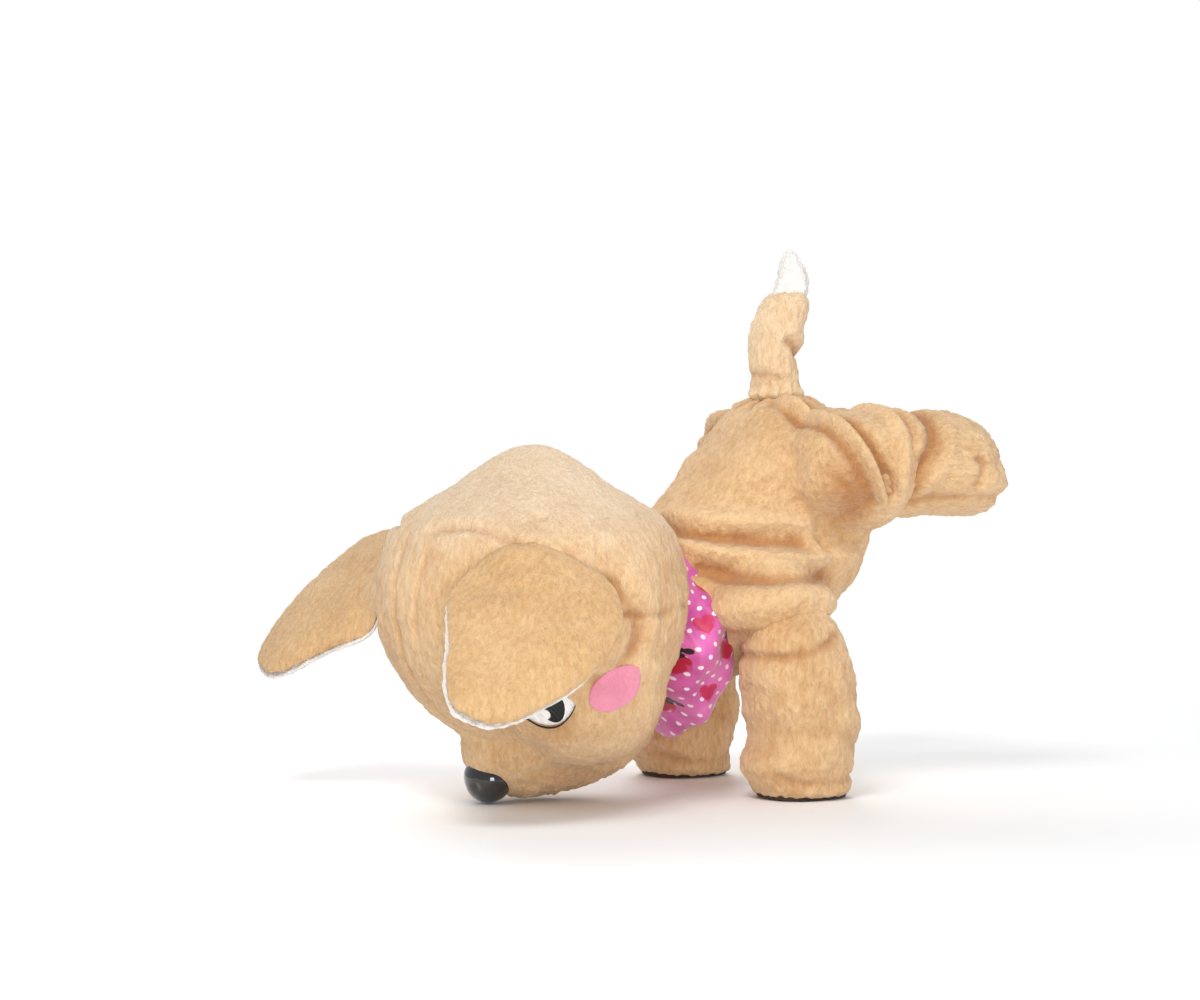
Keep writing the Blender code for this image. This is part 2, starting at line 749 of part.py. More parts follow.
def make_scarf():
    """A band cut to the neck on its inside and to the head on its front."""
    axis = Vector((math.cos(SCARF_TILT), 0.0, math.sin(SCARF_TILT)))
    upright = Vector((-math.sin(SCARF_TILT), 0.0, math.cos(SCARF_TILT)))
    rings = []
    for along, grow in ((SCARF_FROM, -0.004), (0.0, 0.0), (SCARF_TO, 0.001)):
        centre = SCARF + axis * along
        wide = SCARF_HALF_WIDTH + grow
        rings.append(ring(centre, (0, 1, 0), upright, wide, SCARF_HALF_DEPTH + grow, 2.2))
    band = place("scarf", loft_mesh("scarf", rings, 32), material("scarf", PINK, 0.35))
    neck_form = place("neck_form", loft_mesh("neck_form", torso_rings(GAP)), None, cutter=True)
    cut(band, bpy.data.objects["head_form"])
    cut(band, neck_form)


def make_head():
    """The head's shell with its muzzle, its stuffing, and the post that holds it."""
    ball = ellipsoid_mesh("head_skin", HEAD, HEAD_RADII, *HEAD_SIDES)
    skin = place("head_skin", ball, material("head_skin", TAN, 0.95))
    across = Vector((-math.sin(MUZZLE_PITCH), 0.0, math.cos(MUZZLE_PITCH)))
    rings = [ring(Vector((x, 0, z)), (0, 1, 0), across, width, depth) for x, z, depth, width in MUZZLE]
    snout = place("snout_form", loft_mesh("snout_form", rings), None, cutter=True)
    cut(skin, snout, "UNION")
    floor = cutter_box("floor_form", (-0.3, -0.2, -0.1), (0.2, 0.2, 0.0004))
    cut(skin, floor)
    inner = Vector((HEAD_SKIN, HEAD_SKIN, HEAD_SKIN))
    ball = ellipsoid_mesh("head_hollow", HEAD, HEAD_RADII - inner, *INNER_SIDES)
    cut(skin, place("head_hollow", ball, None, cutter=True))
    post_hole = cutter_rod("head_post_hole", POST_HOLE_FROM, POST_HOLE_TO, POST_RADIUS + GAP)
    cut(skin, post_hole)

    inner = Vector((HEAD_SKIN + GAP, HEAD_SKIN + GAP, HEAD_SKIN + GAP))
    ball = ellipsoid_mesh("head_stuffing", HEAD, HEAD_RADII - inner, *INNER_SIDES)
    filling = place("head_stuffing", ball, material("head_stuffing", CREAM, 0.95))
    plate = Vector((PLATE_X, 0, POST_Z))
    room_half = Vector((ANCHOR_HALF + GAP, 0, 0))
    post_room = cutter_rod("post_room", plate - Vector((0.002, 0, 0)), POST_HOLE_TO, POST_RADIUS + GAP)
    plate_room = cutter_rod(
        "plate_room", plate - room_half, plate + room_half, ANCHOR_RADIUS + GAP, ROUND
    )
    sensor_top = HEAD.z + HEAD_RADII.z - 0.0120
    sensor_low = Vector((HEAD.x, 0, sensor_top - 0.0025))
    room_low = sensor_low - Vector((0, 0, GAP))
    room_high = (HEAD.x, 0, sensor_top + 0.02)
    sensor_room = cutter_rod("sensor_room", room_low, room_high, SENSOR_RADIUS + GAP)
    for tool in (post_room, plate_room, sensor_room):
        cut(filling, tool)
    sensor = cylinder_mesh("touch_sensor", sensor_low, (HEAD.x, 0, sensor_top), SENSOR_RADIUS)
    place("touch_sensor", sensor, material("touch_sensor", STEEL, 0.4, 1.0))

    rod = cylinder_mesh("neck_post", plate, (-0.0360, 0, POST_Z), POST_RADIUS)
    post = place("neck_post", rod, material("neck_post", GREY, 0.5))
    half = Vector((ANCHOR_HALF, 0, 0))
    disc = cylinder_mesh("anchor_plate_form", plate - half, plate + half, ANCHOR_RADIUS, ROUND)
    cut(post, place("anchor_plate_form", disc, None, cutter=True), "UNION")
    make_nose(skin)
    for side in SIDES:
        make_face_patch(side, "eye_patch", EYE_AT, 0.0125, 0.0095, -25.0, WHITE)
        make_face_patch(side, "cheek_patch", CHEEK_AT, 0.0130, 0.0080, 27.0, BLUSH)


def make_nose(skin):
    """A moulded dome whose shank goes through the muzzle to a washer."""
    inward = Vector((-math.cos(MUZZLE_PITCH), 0.0, -math.sin(MUZZLE_PITCH)))
    ball = ellipsoid_mesh("nose", NOSE, NOSE_RADII, *INNER_SIDES)
    dome = place("nose", ball, material("nose", BLACK, 0.12))
    shank_form = cylinder_mesh("nose_shank_form", NOSE, NOSE + inward * 0.0260, 0.0022)
    cut(dome, place("nose_shank_form", shank_form, None, cutter=True), "UNION")
    seat = place(
        "nose_seat",
        ellipsoid_mesh("nose_seat", NOSE, NOSE_RADII + Vector((GAP, GAP, GAP)), *INNER_SIDES),
        None,
        cutter=True,
    )
    shank_room = cutter_rod("nose_shank_room", NOSE, NOSE + inward * 0.0265, 0.0025)
    washer_room = cutter_rod("washer_room", NOSE + inward * 0.0197, NOSE + inward * 0.0223, 0.0063)
    for tool in (seat, shank_room, washer_room):
        cut(skin, tool)
    washer = cylinder_mesh("nose_washer", NOSE + inward * 0.0200, NOSE + inward * 0.0220, 0.0060)
    washer = place("nose_washer", washer, material("nose_washer", WHITE, 0.4))
    cut(washer, cutter_rod("washer_bore", NOSE + inward * 0.0100, NOSE + inward * 0.0300, 0.0025))


def make_face_patch(side, kind, centre, half_long, half_high, slope, colour):
    """A thin patch that follows the head's surface, cut from a slightly larger shell."""
    sign = mirror_y(side)
    centre = Vector((centre.x, centre.y * sign, centre.z))
    out = (centre - HEAD).normalized()
    out = Vector((out.x, out.y, out.z * 0.9)).normalized()
    level = Vector((0, 0, 1)).cross(out).normalized() * -sign
    upright = out.cross(level).normalized()
    if upright.z < 0:
        upright = -upright
    turn = math.radians(slope)
    long_axis = level * math.cos(turn) + upright * math.sin(turn)
    high_axis = out.cross(long_axis)
    thick = 0.0016
    name = f"{kind}_{side}"
    rings = [
        ring(centre - out * 0.016, long_axis, high_axis, half_long, half_high),
        ring(centre + out * 0.016, long_axis, high_axis, half_long, half_high),
    ]
    patch = place(name, loft_mesh(name, rings, FINE), material(name, colour, 0.8))
    grow = Vector((GAP + thick, GAP + thick, GAP + thick))
    ball = ellipsoid_mesh(f"{name}_outer", HEAD, HEAD_RADII + grow, *HEAD_SIDES)
    outer = place(f"{name}_outer", ball, None, cutter=True)
    cut(patch, outer, "INTERSECT")
    ball = ellipsoid_mesh(f"{name}_inner", HEAD, HEAD_RADII + Vector((GAP, GAP, GAP)), *HEAD_SIDES)
    inner = place(f"{name}_inner", ball, None, cutter=True)
    cut(patch, inner)
    across = Vector((-math.sin(MUZZLE_PITCH), 0.0, math.cos(MUZZLE_PITCH)))
    rings = []
    for x, z, depth, width in MUZZLE:
        rings.append(ring(Vector((x, 0, z)), (0, 1, 0), across, width + GAP, depth + GAP))
    snout = place(f"{name}_snout", loft_mesh(f"{name}_snout", rings), None, cutter=True)
    cut(patch, snout)


def make_ear(side):
    """A leaf-shaped ear of two panels: plush outside and lining inside."""
    sign = mirror_y(side)
    flip = Vector((1.0, sign, 1.0))
    root = EAR_ROOT * flip
    reach = EAR_TIP[side] * flip
    long_axis = reach.normalized()
    face = EAR_FACE * flip
    face = (face - long_axis * face.dot(long_axis)).normalized()
    wide_axis = long_axis.cross(face)
    panels = (("ear", TAN, GAP / 2, EAR_THICK * 0.6), ("ear_lining", WHITE, -GAP / 2, -EAR_THICK * 0.4))
    for kind, colour, near, far in panels:
        rings = []
        for share, width in EAR_STATIONS:
            middle = root + long_axis * (reach.length * share)
            bend = -0.010 * (share - 0.4) ** 2
            puff = abs(far - near) * (0.45 + 0.55 * width) / 2.0
            centre = middle + face * (bend + near + math.copysign(puff, far))
            rings.append(ring(centre, wide_axis, face, EAR_HALF_WIDTH * width, puff, 2.6))
        name = f"{kind}_{side}"
        panel = place(name, loft_mesh(name, rings, 20), material(name, colour, 0.95))
        cut(panel, bpy.data.objects["head_form"])


def axle_room_cutter(name, side, centre):
    """A rod that makes room for the axle in a leg."""
    sign = mirror_y(side)
    inner = centre + Vector((0, sign * (LEG_INNER - 0.004), 0))
    outer = centre + Vector((0, sign * (AXLE_HALF + GAP), 0))
    return cutter_rod(f"{name}_axle_room_{side}", inner, outer, AXLE_RADIUS + GAP)


def make_front_leg(side, parent):
    sign = mirror_y(side)
    y = sign * FRONT_Y
    rings = []
    for z, radius in FRONT_LEG:
        lean = SHOULDER.x * min(max((z - 0.02) / 0.05, 0.0), 1.0)
        rings.append(ring(Vector((lean, y, z)), (1, 0, 0), (0, 1, 0), radius, radius, 2.2))
    name = f"front_leg_skin_{side}"
    skin = place(name, loft_mesh(name, rings), material(name, TAN, 0.95), parent)
    low_y = -LEG_INNER if sign < 0 else -0.010
    high_y = 0.010 if sign < 0 else LEG_INNER
    flat = cutter_box(f"front_flat_{side}", (-0.06, low_y, 0.0280), (0.06, high_y, 0.12))
    cut(skin, flat)
    bone_y = sign * BONE_Y
    bone_low = Vector((SHOULDER.x, bone_y, 0.0100))
    bone_high = Vector((SHOULDER.x, bone_y, SHOULDER.z + 0.0080))
    reach = Vector((0, 0, GAP))
    low_end = bone_low - reach
    high_end = bone_high + reach
    cut(skin, cutter_rod(f"front_bone_room_{side}", low_end, high_end, BONE_RADIUS + GAP))
    axle_room = axle_room_cutter("front", side, SHOULDER)
    cut(skin, axle_room)
    name = f"front_leg_frame_{side}"
    bone = cylinder_mesh(name, bone_low, bone_high, BONE_RADIUS)
    frame = place(name, bone, material(name, GREY, 0.5), parent)
    cut(frame, axle_room)
    name = f"paw_sole_{side}"
    rings = [
        ring(Vector((0, y, 0.0)), (1, 0, 0), (0, 1, 0), 0.0205, 0.0180, 2.6),
        ring(Vector((0, y, SOLE_THICK)), (1, 0, 0), (0, 1, 0), 0.0215, 0.0190, 2.6),
    ]
    place(name, loft_mesh(name, rings), material(name, BROWN, 0.6), parent)


def make_hind_leg(side, parent):
    sign = mirror_y(side)
    y = sign * HIND_Y
    hip_y = sign * BONE_Y
    rings = []
    for x, radius in HIND_LEG:
        share = min(max(x / 0.045, 0.0), 1.0)
        middle = hip_y + (y - hip_y) * share
        centre = Vector((HIP.x + x, middle, HIP.z))
        rings.append(ring(centre, (0, 1, 0), (0, 0, 1), radius, radius, 2.2))
    name = f"hind_leg_skin_{side}"
    skin = place(name, loft_mesh(name, rings), material(name, TAN, 0.95), parent)
    reach_in = Vector((0, sign * -0.010, 0))
    reach_out = Vector((0, sign * LEG_INNER, 0))
    cut(skin, cutter_rod(f"hip_room_{side}", HIP + reach_in, HIP + reach_out, HIP_CLEAR, 32))
    bone_y = sign * BONE_Y
    bone_start = Vector((HIP.x - 0.0120, bone_y, HIP.z))
    bone_end = Vector((HIP.x + 0.0560, bone_y, HIP.z))
    reach = Vector((GAP, 0, 0))
    low_end = bone_start - reach
    high_end = bone_end + reach
    cut(skin, cutter_rod(f"hind_bone_room_{side}", low_end, high_end, BONE_RADIUS + GAP))
    axle_room = axle_room_cutter("hind", side, HIP)
    cut(skin, axle_room)
    name = f"hind_leg_frame_{side}"
    bone = cylinder_mesh(name, bone_start, bone_end, BONE_RADIUS)
    frame = place(name, bone, material(name, GREY, 0.5), parent)
    cut(frame, axle_room)


def tail_mesh(name, stations):
    """A round form through (X, Z, radius) stations."""
    rings = []
    for x, z, radius in stations:
        rings.append(ring(Vector((x, 0, z)), (1, 0, 0), (0, 1, 0), radius, radius))
    return loft_mesh(name, rings, FINE)


def make_tail(parent):
    """The tail's skin, its tip, and a rod with a ball end inside it."""
    skin = place("tail_skin", tail_mesh("tail_skin", TAIL), material("tail_skin", TAN, 0.95), parent)
    place("tail_tip", tail_mesh("tail_tip", TAIL_TIP), material("tail_tip", WHITE, 0.95), parent)
    top = TAIL_PIVOT + Vector((0.0006, 0, 0.0380))
    room_top = top + Vector((0, 0, GAP))
    cut(skin, cutter_rod("tail_core_room", TAIL_PIVOT, room_top, TAIL_ROD_RADIUS + GAP))
    radii = Vector((1, 1, 1)) * TAIL_BALL_RADIUS
    ball = ellipsoid_mesh("tail_core", TAIL_PIVOT, radii, FINE, 10)
    core = place("tail_core", ball, material("tail_core", STEEL, 0.4, 0.0), parent)
    rod = cylinder_mesh("tail_rod_form", TAIL_PIVOT, top, TAIL_ROD_RADIUS)
    cut(core, place("tail_rod_form", rod, None, parent, cutter=True), "UNION")


# ---------------------------------------------------------------- assembly

shoulder_hinge = pivot("shoulder_swing", SHOULDER)
hip_hinge = pivot("hip_kick", HIP)
tail_hinge = pivot("tail_wag", TAIL_PIVOT)

make_casing()
make_casing_screws()
make_battery_tray()
make_battery_cover()
make_switch()
make_electronics()
make_drive("front", "shoulder_axle", SHOULDER, LEAN + math.pi / 2.0, SHOULDER_RANGE, shoulder_hinge)
make_drive("rear", "hip_axle", HIP, LEAN + math.pi, HIP_RANGE, hip_hinge)
make_torso_skin()
make_scarf()
make_head()
for leg_side in SIDES:
    make_ear(leg_side)
    make_front_leg(leg_side, shoulder_hinge)
    make_hind_leg(leg_side, hip_hinge)
make_tail(tail_hinge)
bpy.context.view_layer.update()
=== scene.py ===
import json
import math

import bmesh
import bpy
import numpy as np
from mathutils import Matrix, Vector, noise
from mathutils.bvhtree import BVHTree


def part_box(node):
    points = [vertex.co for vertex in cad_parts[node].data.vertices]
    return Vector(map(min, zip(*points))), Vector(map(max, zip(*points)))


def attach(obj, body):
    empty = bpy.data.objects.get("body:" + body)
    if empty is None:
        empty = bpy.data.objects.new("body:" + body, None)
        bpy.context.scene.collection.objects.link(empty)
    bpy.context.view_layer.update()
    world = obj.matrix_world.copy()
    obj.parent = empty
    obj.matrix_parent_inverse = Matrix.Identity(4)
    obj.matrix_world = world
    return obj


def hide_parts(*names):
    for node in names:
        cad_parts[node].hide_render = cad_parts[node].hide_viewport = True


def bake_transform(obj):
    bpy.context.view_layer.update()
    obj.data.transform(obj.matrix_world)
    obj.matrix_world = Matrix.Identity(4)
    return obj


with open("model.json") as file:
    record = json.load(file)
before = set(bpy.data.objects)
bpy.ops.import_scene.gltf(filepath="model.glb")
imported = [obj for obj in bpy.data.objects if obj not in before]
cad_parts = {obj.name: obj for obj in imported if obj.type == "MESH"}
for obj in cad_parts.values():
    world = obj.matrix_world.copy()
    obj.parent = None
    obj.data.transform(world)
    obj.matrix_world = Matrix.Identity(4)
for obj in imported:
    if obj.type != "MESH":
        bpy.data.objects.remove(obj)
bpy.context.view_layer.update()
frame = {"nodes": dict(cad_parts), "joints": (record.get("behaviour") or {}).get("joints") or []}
nodes = frame["nodes"]
joint_at = {joint["name"]: Vector(joint["pos_m"]) for joint in frame["joints"] if "pos_m" in joint}

# ---------------------------------------------------------------- studio
# A pale table top that fades out into a white surround. One soft light stands over the puppy's
# front, one to its side, one behind its tail, and a low one reaches under the muzzle.


def srgb(red, green, blue):
    """A colour given as it looks on a screen, 0 to 255, as light."""
    parts = []
    for value in (red, green, blue):
        share = value / 255
        parts.append(share / 12.92 if share <= 0.04045 else ((share + 0.055) / 1.055) ** 2.4)
    return (*parts, 1.0)


class Wire:
    """A shader socket that Python arithmetic can be done on: each operator adds a Math node."""

    def __init__(self, look, socket):
        self.look = look
        self.socket = socket

    def maths(self, operation, first, second):
        return self.look.node("ShaderNodeMath", {"operation": operation}, {0: first, 1: second})

    def __add__(self, other):
        return self.maths("ADD", self, other)

    def __sub__(self, other):
        return self.maths("SUBTRACT", self, other)

    def __rsub__(self, other):
        return self.maths("SUBTRACT", other, self)

    def __mul__(self, other):
        return self.maths("MULTIPLY", self, other)

    def __truediv__(self, other):
        return self.maths("DIVIDE", self, other)

    def __gt__(self, other):
        return self.maths("GREATER_THAN", self, other)

    def __lt__(self, other):
        return self.maths("LESS_THAN", self, other)

    __radd__ = __add__
    __rmul__ = __mul__


class Look:
    """One procedural material. The constants go on the Principled shader's own sockets."""

    def __init__(self, name, **constants):
        self.material = bpy.data.materials.new(name)
        self.material.use_nodes = True
        self.tree = self.material.node_tree
        self.shader = self.tree.nodes["Principled BSDF"]
        for socket, value in constants.items():
            self.shader.inputs[socket.replace("_", " ")].default_value = value
        self.place = self.node("ShaderNodeTexCoord", output="Object")

    def node(self, kind, settings=None, sockets=None, output=0):
        """Add a node: its settings come first, then the values or wires of its sockets."""
        made = self.tree.nodes.new(kind)
        for setting, value in (settings or {}).items():
            setattr(made, setting, value)
        for socket, value in (sockets or {}).items():
            if isinstance(value, Wire):
                self.tree.links.new(value.socket, made.inputs[socket])
            else:
                made.inputs[socket].default_value = value
        return Wire(self, made.outputs[output])

    def stretched(self, scale, place=None):
        """Texture space stretched along each axis."""
        return self.node("ShaderNodeMapping", {}, {"Vector": place or self.place, "Scale": scale})

    def grain(self, scale, detail=2.0, rough=0.5, place=None):
        """Soft random grain from 0 to 1."""
        sockets = {"Vector": place or self.place, "Scale": scale, "Detail": detail, "Roughness": rough}
        return self.node("ShaderNodeTexNoise", {}, sockets, "Fac")

    def mix(self, share, first, second):
        """Between two colours by share, from 0 to 1."""
        return self.node("ShaderNodeMix", {"data_type": "RGBA"}, {0: share, 6: first, 7: second}, 2)

    def spread(self, value, low, high):
        """Stretch the part of a value between low and high over 0 to 1."""
        return self.node("ShaderNodeMapRange", {}, {"Value": value, "From Min": low, "From Max": high})

    def finish(self, colour=None, roughness=None, relief=None, depth=0.0003):
        """Wire the varying parts up to the shader."""
        for socket, wire in (("Base Color", colour), ("Roughness", roughness)):
            if wire is not None:
                self.tree.links.new(wire.socket, self.shader.inputs[socket])
        if relief is not None:
            sockets = {"Height": relief, "Distance": depth, "Strength": 1.0}
            bump = self.node("ShaderNodeBump", {}, sockets)
            self.tree.links.new(bump.socket, self.shader.inputs["Normal"])
        return self.material


def aim(thing, target):
    """Turn a light or a camera towards a point."""
    thing.rotation_euler = (Vector(target) - thing.location).to_track_quat("-Z", "Y").to_euler()


CAMERA_TURN = math.radians(-30.0)
CAMERA_RISE = math.radians(2.0)
CAMERA_REACH = 1.6
CAMERA_LENS = 100.0
LOOK_AT = Vector((-0.0295, 0.0, 0.1416))
towards = Vector((math.sin(CAMERA_TURN), -math.cos(CAMERA_TURN), math.tan(CAMERA_RISE))).normalized()
camera = bpy.data.objects.new("camera", bpy.data.cameras.new("camera"))
camera.data.lens = CAMERA_LENS
camera.data.sensor_width = 36.0
camera.location = LOOK_AT + towards * CAMERA_REACH
aim(camera, LOOK_AT)
bpy.context.scene.collection.objects.link(camera)
bpy.context.scene.camera = camera

LIGHTS = (
    ("key", (-0.60, -0.55, 1.10), 0.45, 7.8, (1.0, 0.985, 0.955)),
    ("fill", (0.95, -0.85, 0.35), 1.0, 3.1, (1.0, 0.985, 0.97)),
    ("rim", (0.30, 0.95, 0.75), 0.8, 7.0, (1.0, 1.0, 1.0)),
    ("low", (-0.55, -0.95, 0.03), 0.40, 4.5, (1.0, 0.985, 0.97)),
)
for name, spot, size, power, colour in LIGHTS:
    light = bpy.data.lights.new(name, "AREA")
    light.size = size
    light.energy = power
    light.color = colour
    lamp = bpy.data.objects.new(name, light)
    lamp.location = spot
    aim(lamp, (0.0, 0.0, 0.10))
    bpy.context.scene.collection.objects.link(lamp)

world = bpy.data.worlds.new("surround")
world.use_nodes = True
backdrop = world.node_tree.nodes["Background"]
backdrop.inputs["Color"].default_value = (1.0, 1.0, 1.0, 1.0)
soft = world.node_tree.nodes.new("ShaderNodeBackground")
soft.inputs["Color"].default_value = (0.95, 0.97, 1.0, 1.0)
soft.inputs["Strength"].default_value = 0.56
seen = world.node_tree.nodes.new("ShaderNodeLightPath")
either = world.node_tree.nodes.new("ShaderNodeMixShader")
world.node_tree.links.new(seen.outputs["Is Camera Ray"], either.inputs[0])
world.node_tree.links.new(soft.outputs[0], either.inputs[1])
world.node_tree.links.new(backdrop.outputs[0], either.inputs[2])
world.node_tree.links.new(either.outputs[0], world.node_tree.nodes["World Output"].inputs["Surface"])
bpy.context.scene.world = world
bpy.context.scene.view_settings.view_transform = "Standard"

TABLE_WIDE = 1.7
TABLE_DROP = 0.0006
FADE_START = 0.30
FADE_END = 0.62
bpy.ops.mesh.primitive_plane_add(size=TABLE_WIDE, location=(0.0, 0.0, -TABLE_DROP))
table = bpy.context.object
table.name = "table_top"
pale = Look("pale_table", Roughness=0.6)
reach = pale.node("ShaderNodeVectorMath", {"operation": "LENGTH"}, {0: pale.place}, "Value")
fade = pale.spread(reach, FADE_END, FADE_START)
pale.tree.links.new(fade.socket, pale.shader.inputs["Alpha"])
tone = pale.mix(pale.grain(3.0), srgb(252, 252, 252), srgb(248, 248, 249))
table.data.materials.append(pale.finish(tone))

# ---------------------------------------------------------------- head skin
# A stuffed ball of short-pile plush, sewn from a crown panel, a brow, two cheeks and a short
# muzzle. The forehead seam, the middle seam, two darts and the side seams pull in where they
# are sewn, and the skin puckers behind each ear and at the jaw.

TAN_PALE = srgb(241, 206, 160)
TAN_DEEP = srgb(198, 150, 97)
# Painted colours: a warm shade painted into fold creases, and a cream painted light for the top of the
# head.
TAN_CREASE_SHADE = srgb(176, 112, 58)
TAN_TOP_LIGHT = srgb(240, 220, 194)
VOXEL = 0.0020
HEAD_LOW, HEAD_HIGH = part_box("head_stuffing")
HEAD = (HEAD_LOW + HEAD_HIGH) / 2
SKIN_THICK = 0.0043
HEAD_RADII = (HEAD_HIGH - HEAD_LOW) / 2 + Vector((SKIN_THICK,) * 3)
MUZZLE_PITCH = math.radians(33.0)
MUZZLE_UP = Vector((-math.sin(MUZZLE_PITCH), 0.0, math.cos(MUZZLE_PITCH)))
# muzzle sections: X, Z, half height, half width
MUZZLE = (
    (-0.0231, 0.0760, 0.0300, 0.0380),
    (-0.0351, 0.0590, 0.0440, 0.0480),
    (-0.0501, 0.0430, 0.0395, 0.0415),
    (-0.0631, 0.0335, 0.0350, 0.0360),
    (-0.0761, 0.0250, 0.0285, 0.0300),
    (-0.0861, 0.0190, 0.0215, 0.0235),
    (-0.0921, 0.0165, 0.0150, 0.0165),
)


def plush(name, pale=TAN_PALE, deep=TAN_DEEP, lay=(1.0, 1.0, 0.35), top_light_heights=None):
    """Short polyester pile: brushed patches, fine combed tufts with painted shade between them, painted
    shade in fold creases and painted light on fold crests, painted light towards the top if a height
    range is given, and a soft sheen.
    """
    cloth = Look(name, Sheen_Weight=0.45, Sheen_Roughness=0.45, Specular_IOR_Level=0.2)
    cloth.shader.inputs["Sheen Tint"].default_value = (1.0, 0.93, 0.82, 1.0)
    combed = cloth.stretched(lay)
    warped = cloth.grain(55.0, 2.0) - 0.5
    brushed = cloth.grain(24.0, 3.0, 0.55)
    tuft = cloth.grain(420.0, 3.0, 0.65, combed)
    fibre = cloth.grain(1500.0, 2.0, 0.6, combed)
    light = cloth.spread(brushed + warped * 0.5, 0.32, 0.68) * 0.34
    # Painted shade: the tuft grain darkens the pile between the tufts and lightens their tips. The
    # brushed patches and the fibres are random tone.
    light = light + cloth.spread(tuft, 0.34, 0.66) * 0.46 + cloth.spread(fibre, 0.30, 0.70) * 0.20
    colour = cloth.mix(light, deep, pale)
    # Painted shade and light: fold creases are darkened towards a warm shade colour, and fold crests
    # are painted paler as if lit.
    fold = cloth.node("ShaderNodeAttribute", {"attribute_name": "fold"}, output="Fac")
    colour = cloth.mix(cloth.spread(fold, -0.05, -1.0) * 0.72, colour, TAN_CREASE_SHADE)
    colour = cloth.mix(cloth.spread(fold, 0.15, 1.0) * 0.40, colour, pale)
    # Painted light: the pile turns paler towards the top of the piece, as if lit from above.
    if top_light_heights:
        height = cloth.node("ShaderNodeSeparateXYZ", {}, {0: cloth.place}, "Z")
        top_light_share = cloth.spread(height + warped * 0.02, *top_light_heights)
        colour = cloth.mix(top_light_share * 0.30 + top_light_share * light * 0.45, colour, TAN_TOP_LIGHT)
    return cloth.finish(colour, 0.82 + 0.16 * tuft, tuft * 0.65 + fibre * 0.35, 0.0024)


def ring(centre, across, upright, half_across, half_upright, power=2.0, sides=40):
    """A closed section, round at power 2 and squarer above it."""
    points = []
    for step in range(sides):
        turn = 2 * math.pi * step / sides
        reach = abs(math.cos(turn)) ** (2 / power) * math.copysign(half_across, math.cos(turn))
        rise = abs(math.sin(turn)) ** (2 / power) * math.copysign(half_upright, math.sin(turn))
        points.append(Vector(centre) + Vector(across) * reach + Vector(upright) * rise)
    return points


def loft(form, rings):
    """Skin a row of sections and close both ends."""
    rows = [[form.verts.new(point) for point in points] for points in rings]
    sides = len(rows[0])
    for near, far in zip(rows, rows[1:]):
        for step in range(sides):
            following = (step + 1) % sides
            form.faces.new((near[step], near[following], far[following], far[step]))
    form.faces.new(rows[0][::-1])
    form.faces.new(rows[-1])


def ball(form, centre, radii):
    """A round bulk to be fused with the others."""
    made = bmesh.ops.create_uvsphere(form, u_segments=36, v_segments=22, radius=1.0)
    bmesh.ops.scale(form, vec=radii, verts=made["verts"])
    bmesh.ops.translate(form, vec=centre, verts=made["verts"])


def settle(piece):
    """Apply the piece's modifiers to its mesh."""
    shape = bpy.data.meshes.new_from_object(piece.evaluated_get(bpy.context.evaluated_depsgraph_get()))
    piece.modifiers.clear()
    old = piece.data
    piece.data = shape
    bpy.data.meshes.remove(old)


def made_of(name, form):
    """A new piece with the form's shape."""
    bmesh.ops.recalc_face_normals(form, faces=form.faces)
    mesh = bpy.data.meshes.new(name)
    form.to_mesh(mesh)
    form.free()
    piece = bpy.data.objects.new(name, mesh)
    bpy.context.scene.collection.objects.link(piece)
    mesh.shade_smooth()
    return piece


def fuse(name, form, material, rounds=12, voxel=VOXEL):
    """Fuse overlapping closed forms into one even skin and soften where they join."""
    piece = made_of(name, form)
    even = piece.modifiers.new("even", "REMESH")
    even.mode = "VOXEL"
    even.voxel_size = voxel
    soften = piece.modifiers.new("soften", "SMOOTH")
    soften.factor = 0.6
    soften.iterations = rounds
    finer = piece.modifiers.new("finer", "SUBSURF")
    finer.levels = 1
    finer.render_levels = 1
    settle(piece)
    piece.data.materials.append(material)
    piece.data.shade_smooth()
    return piece


def surface(piece):
    """The piece's points and the directions that its skin faces."""
    count = len(piece.data.vertices)
    points = np.empty(count * 3)
    facing = np.empty(count * 3)
    piece.data.vertices.foreach_get("co", points)
    piece.data.vertices.foreach_get("normal", facing)
    return points.reshape(-1, 3), facing.reshape(-1, 3)


def reshape(piece, points):
    """Give the piece's points new places."""
    piece.data.vertices.foreach_set("co", points.ravel())
    piece.data.update()


def shape_folds(piece, depth, full=0.0028):
    """Move the skin out or in by depth, and note how deep each fold is for the material, which paints
    shade into the creases and light onto the crests.
    """
    points, facing = surface(piece)
    reshape(piece, points + facing * depth[:, None])
    noted = piece.data.attributes.new("fold", "FLOAT", "POINT")
    noted.data.foreach_set("value", np.clip(depth / full, -1.0, 1.0))


def rounded(line, steps=5, closed=False):
    """A smooth curve through a few points."""
    spots = [np.array(spot, float) for spot in line]
    if closed:
        spots = [spots[-1], *spots, spots[0], spots[1]]
    else:
        spots = [2 * spots[0] - spots[1], *spots, 2 * spots[-1] - spots[-2]]
    curve = []
    for before, start, end, after in zip(spots, spots[1:], spots[2:], spots[3:]):
        for step in range(steps):
            t = step / steps
            bend = (end - before) * t + (2 * before - 5 * start + 4 * end - after) * t * t
            curve.append(start + (bend + (3 * start - before - 3 * end + after) * t**3) / 2)
    curve.append(spots[-2])
    return curve


def away(points, line):
    """How far each point lies from a curve through a few points."""
    curve = rounded(line)
    nearest = np.full(len(points), 9.0)
    for start, end in zip(curve, curve[1:]):
        run = end - start
        share = np.clip((points - start) @ run / (run @ run), 0.0, 1.0)
        nearest = np.minimum(nearest, np.linalg.norm(points - start - share[:, None] * run, axis=1))
    return nearest


def swell(distance, width):
    """1 on a line and falling away to each side of it."""
    return np.exp(-((distance / width) ** 2))


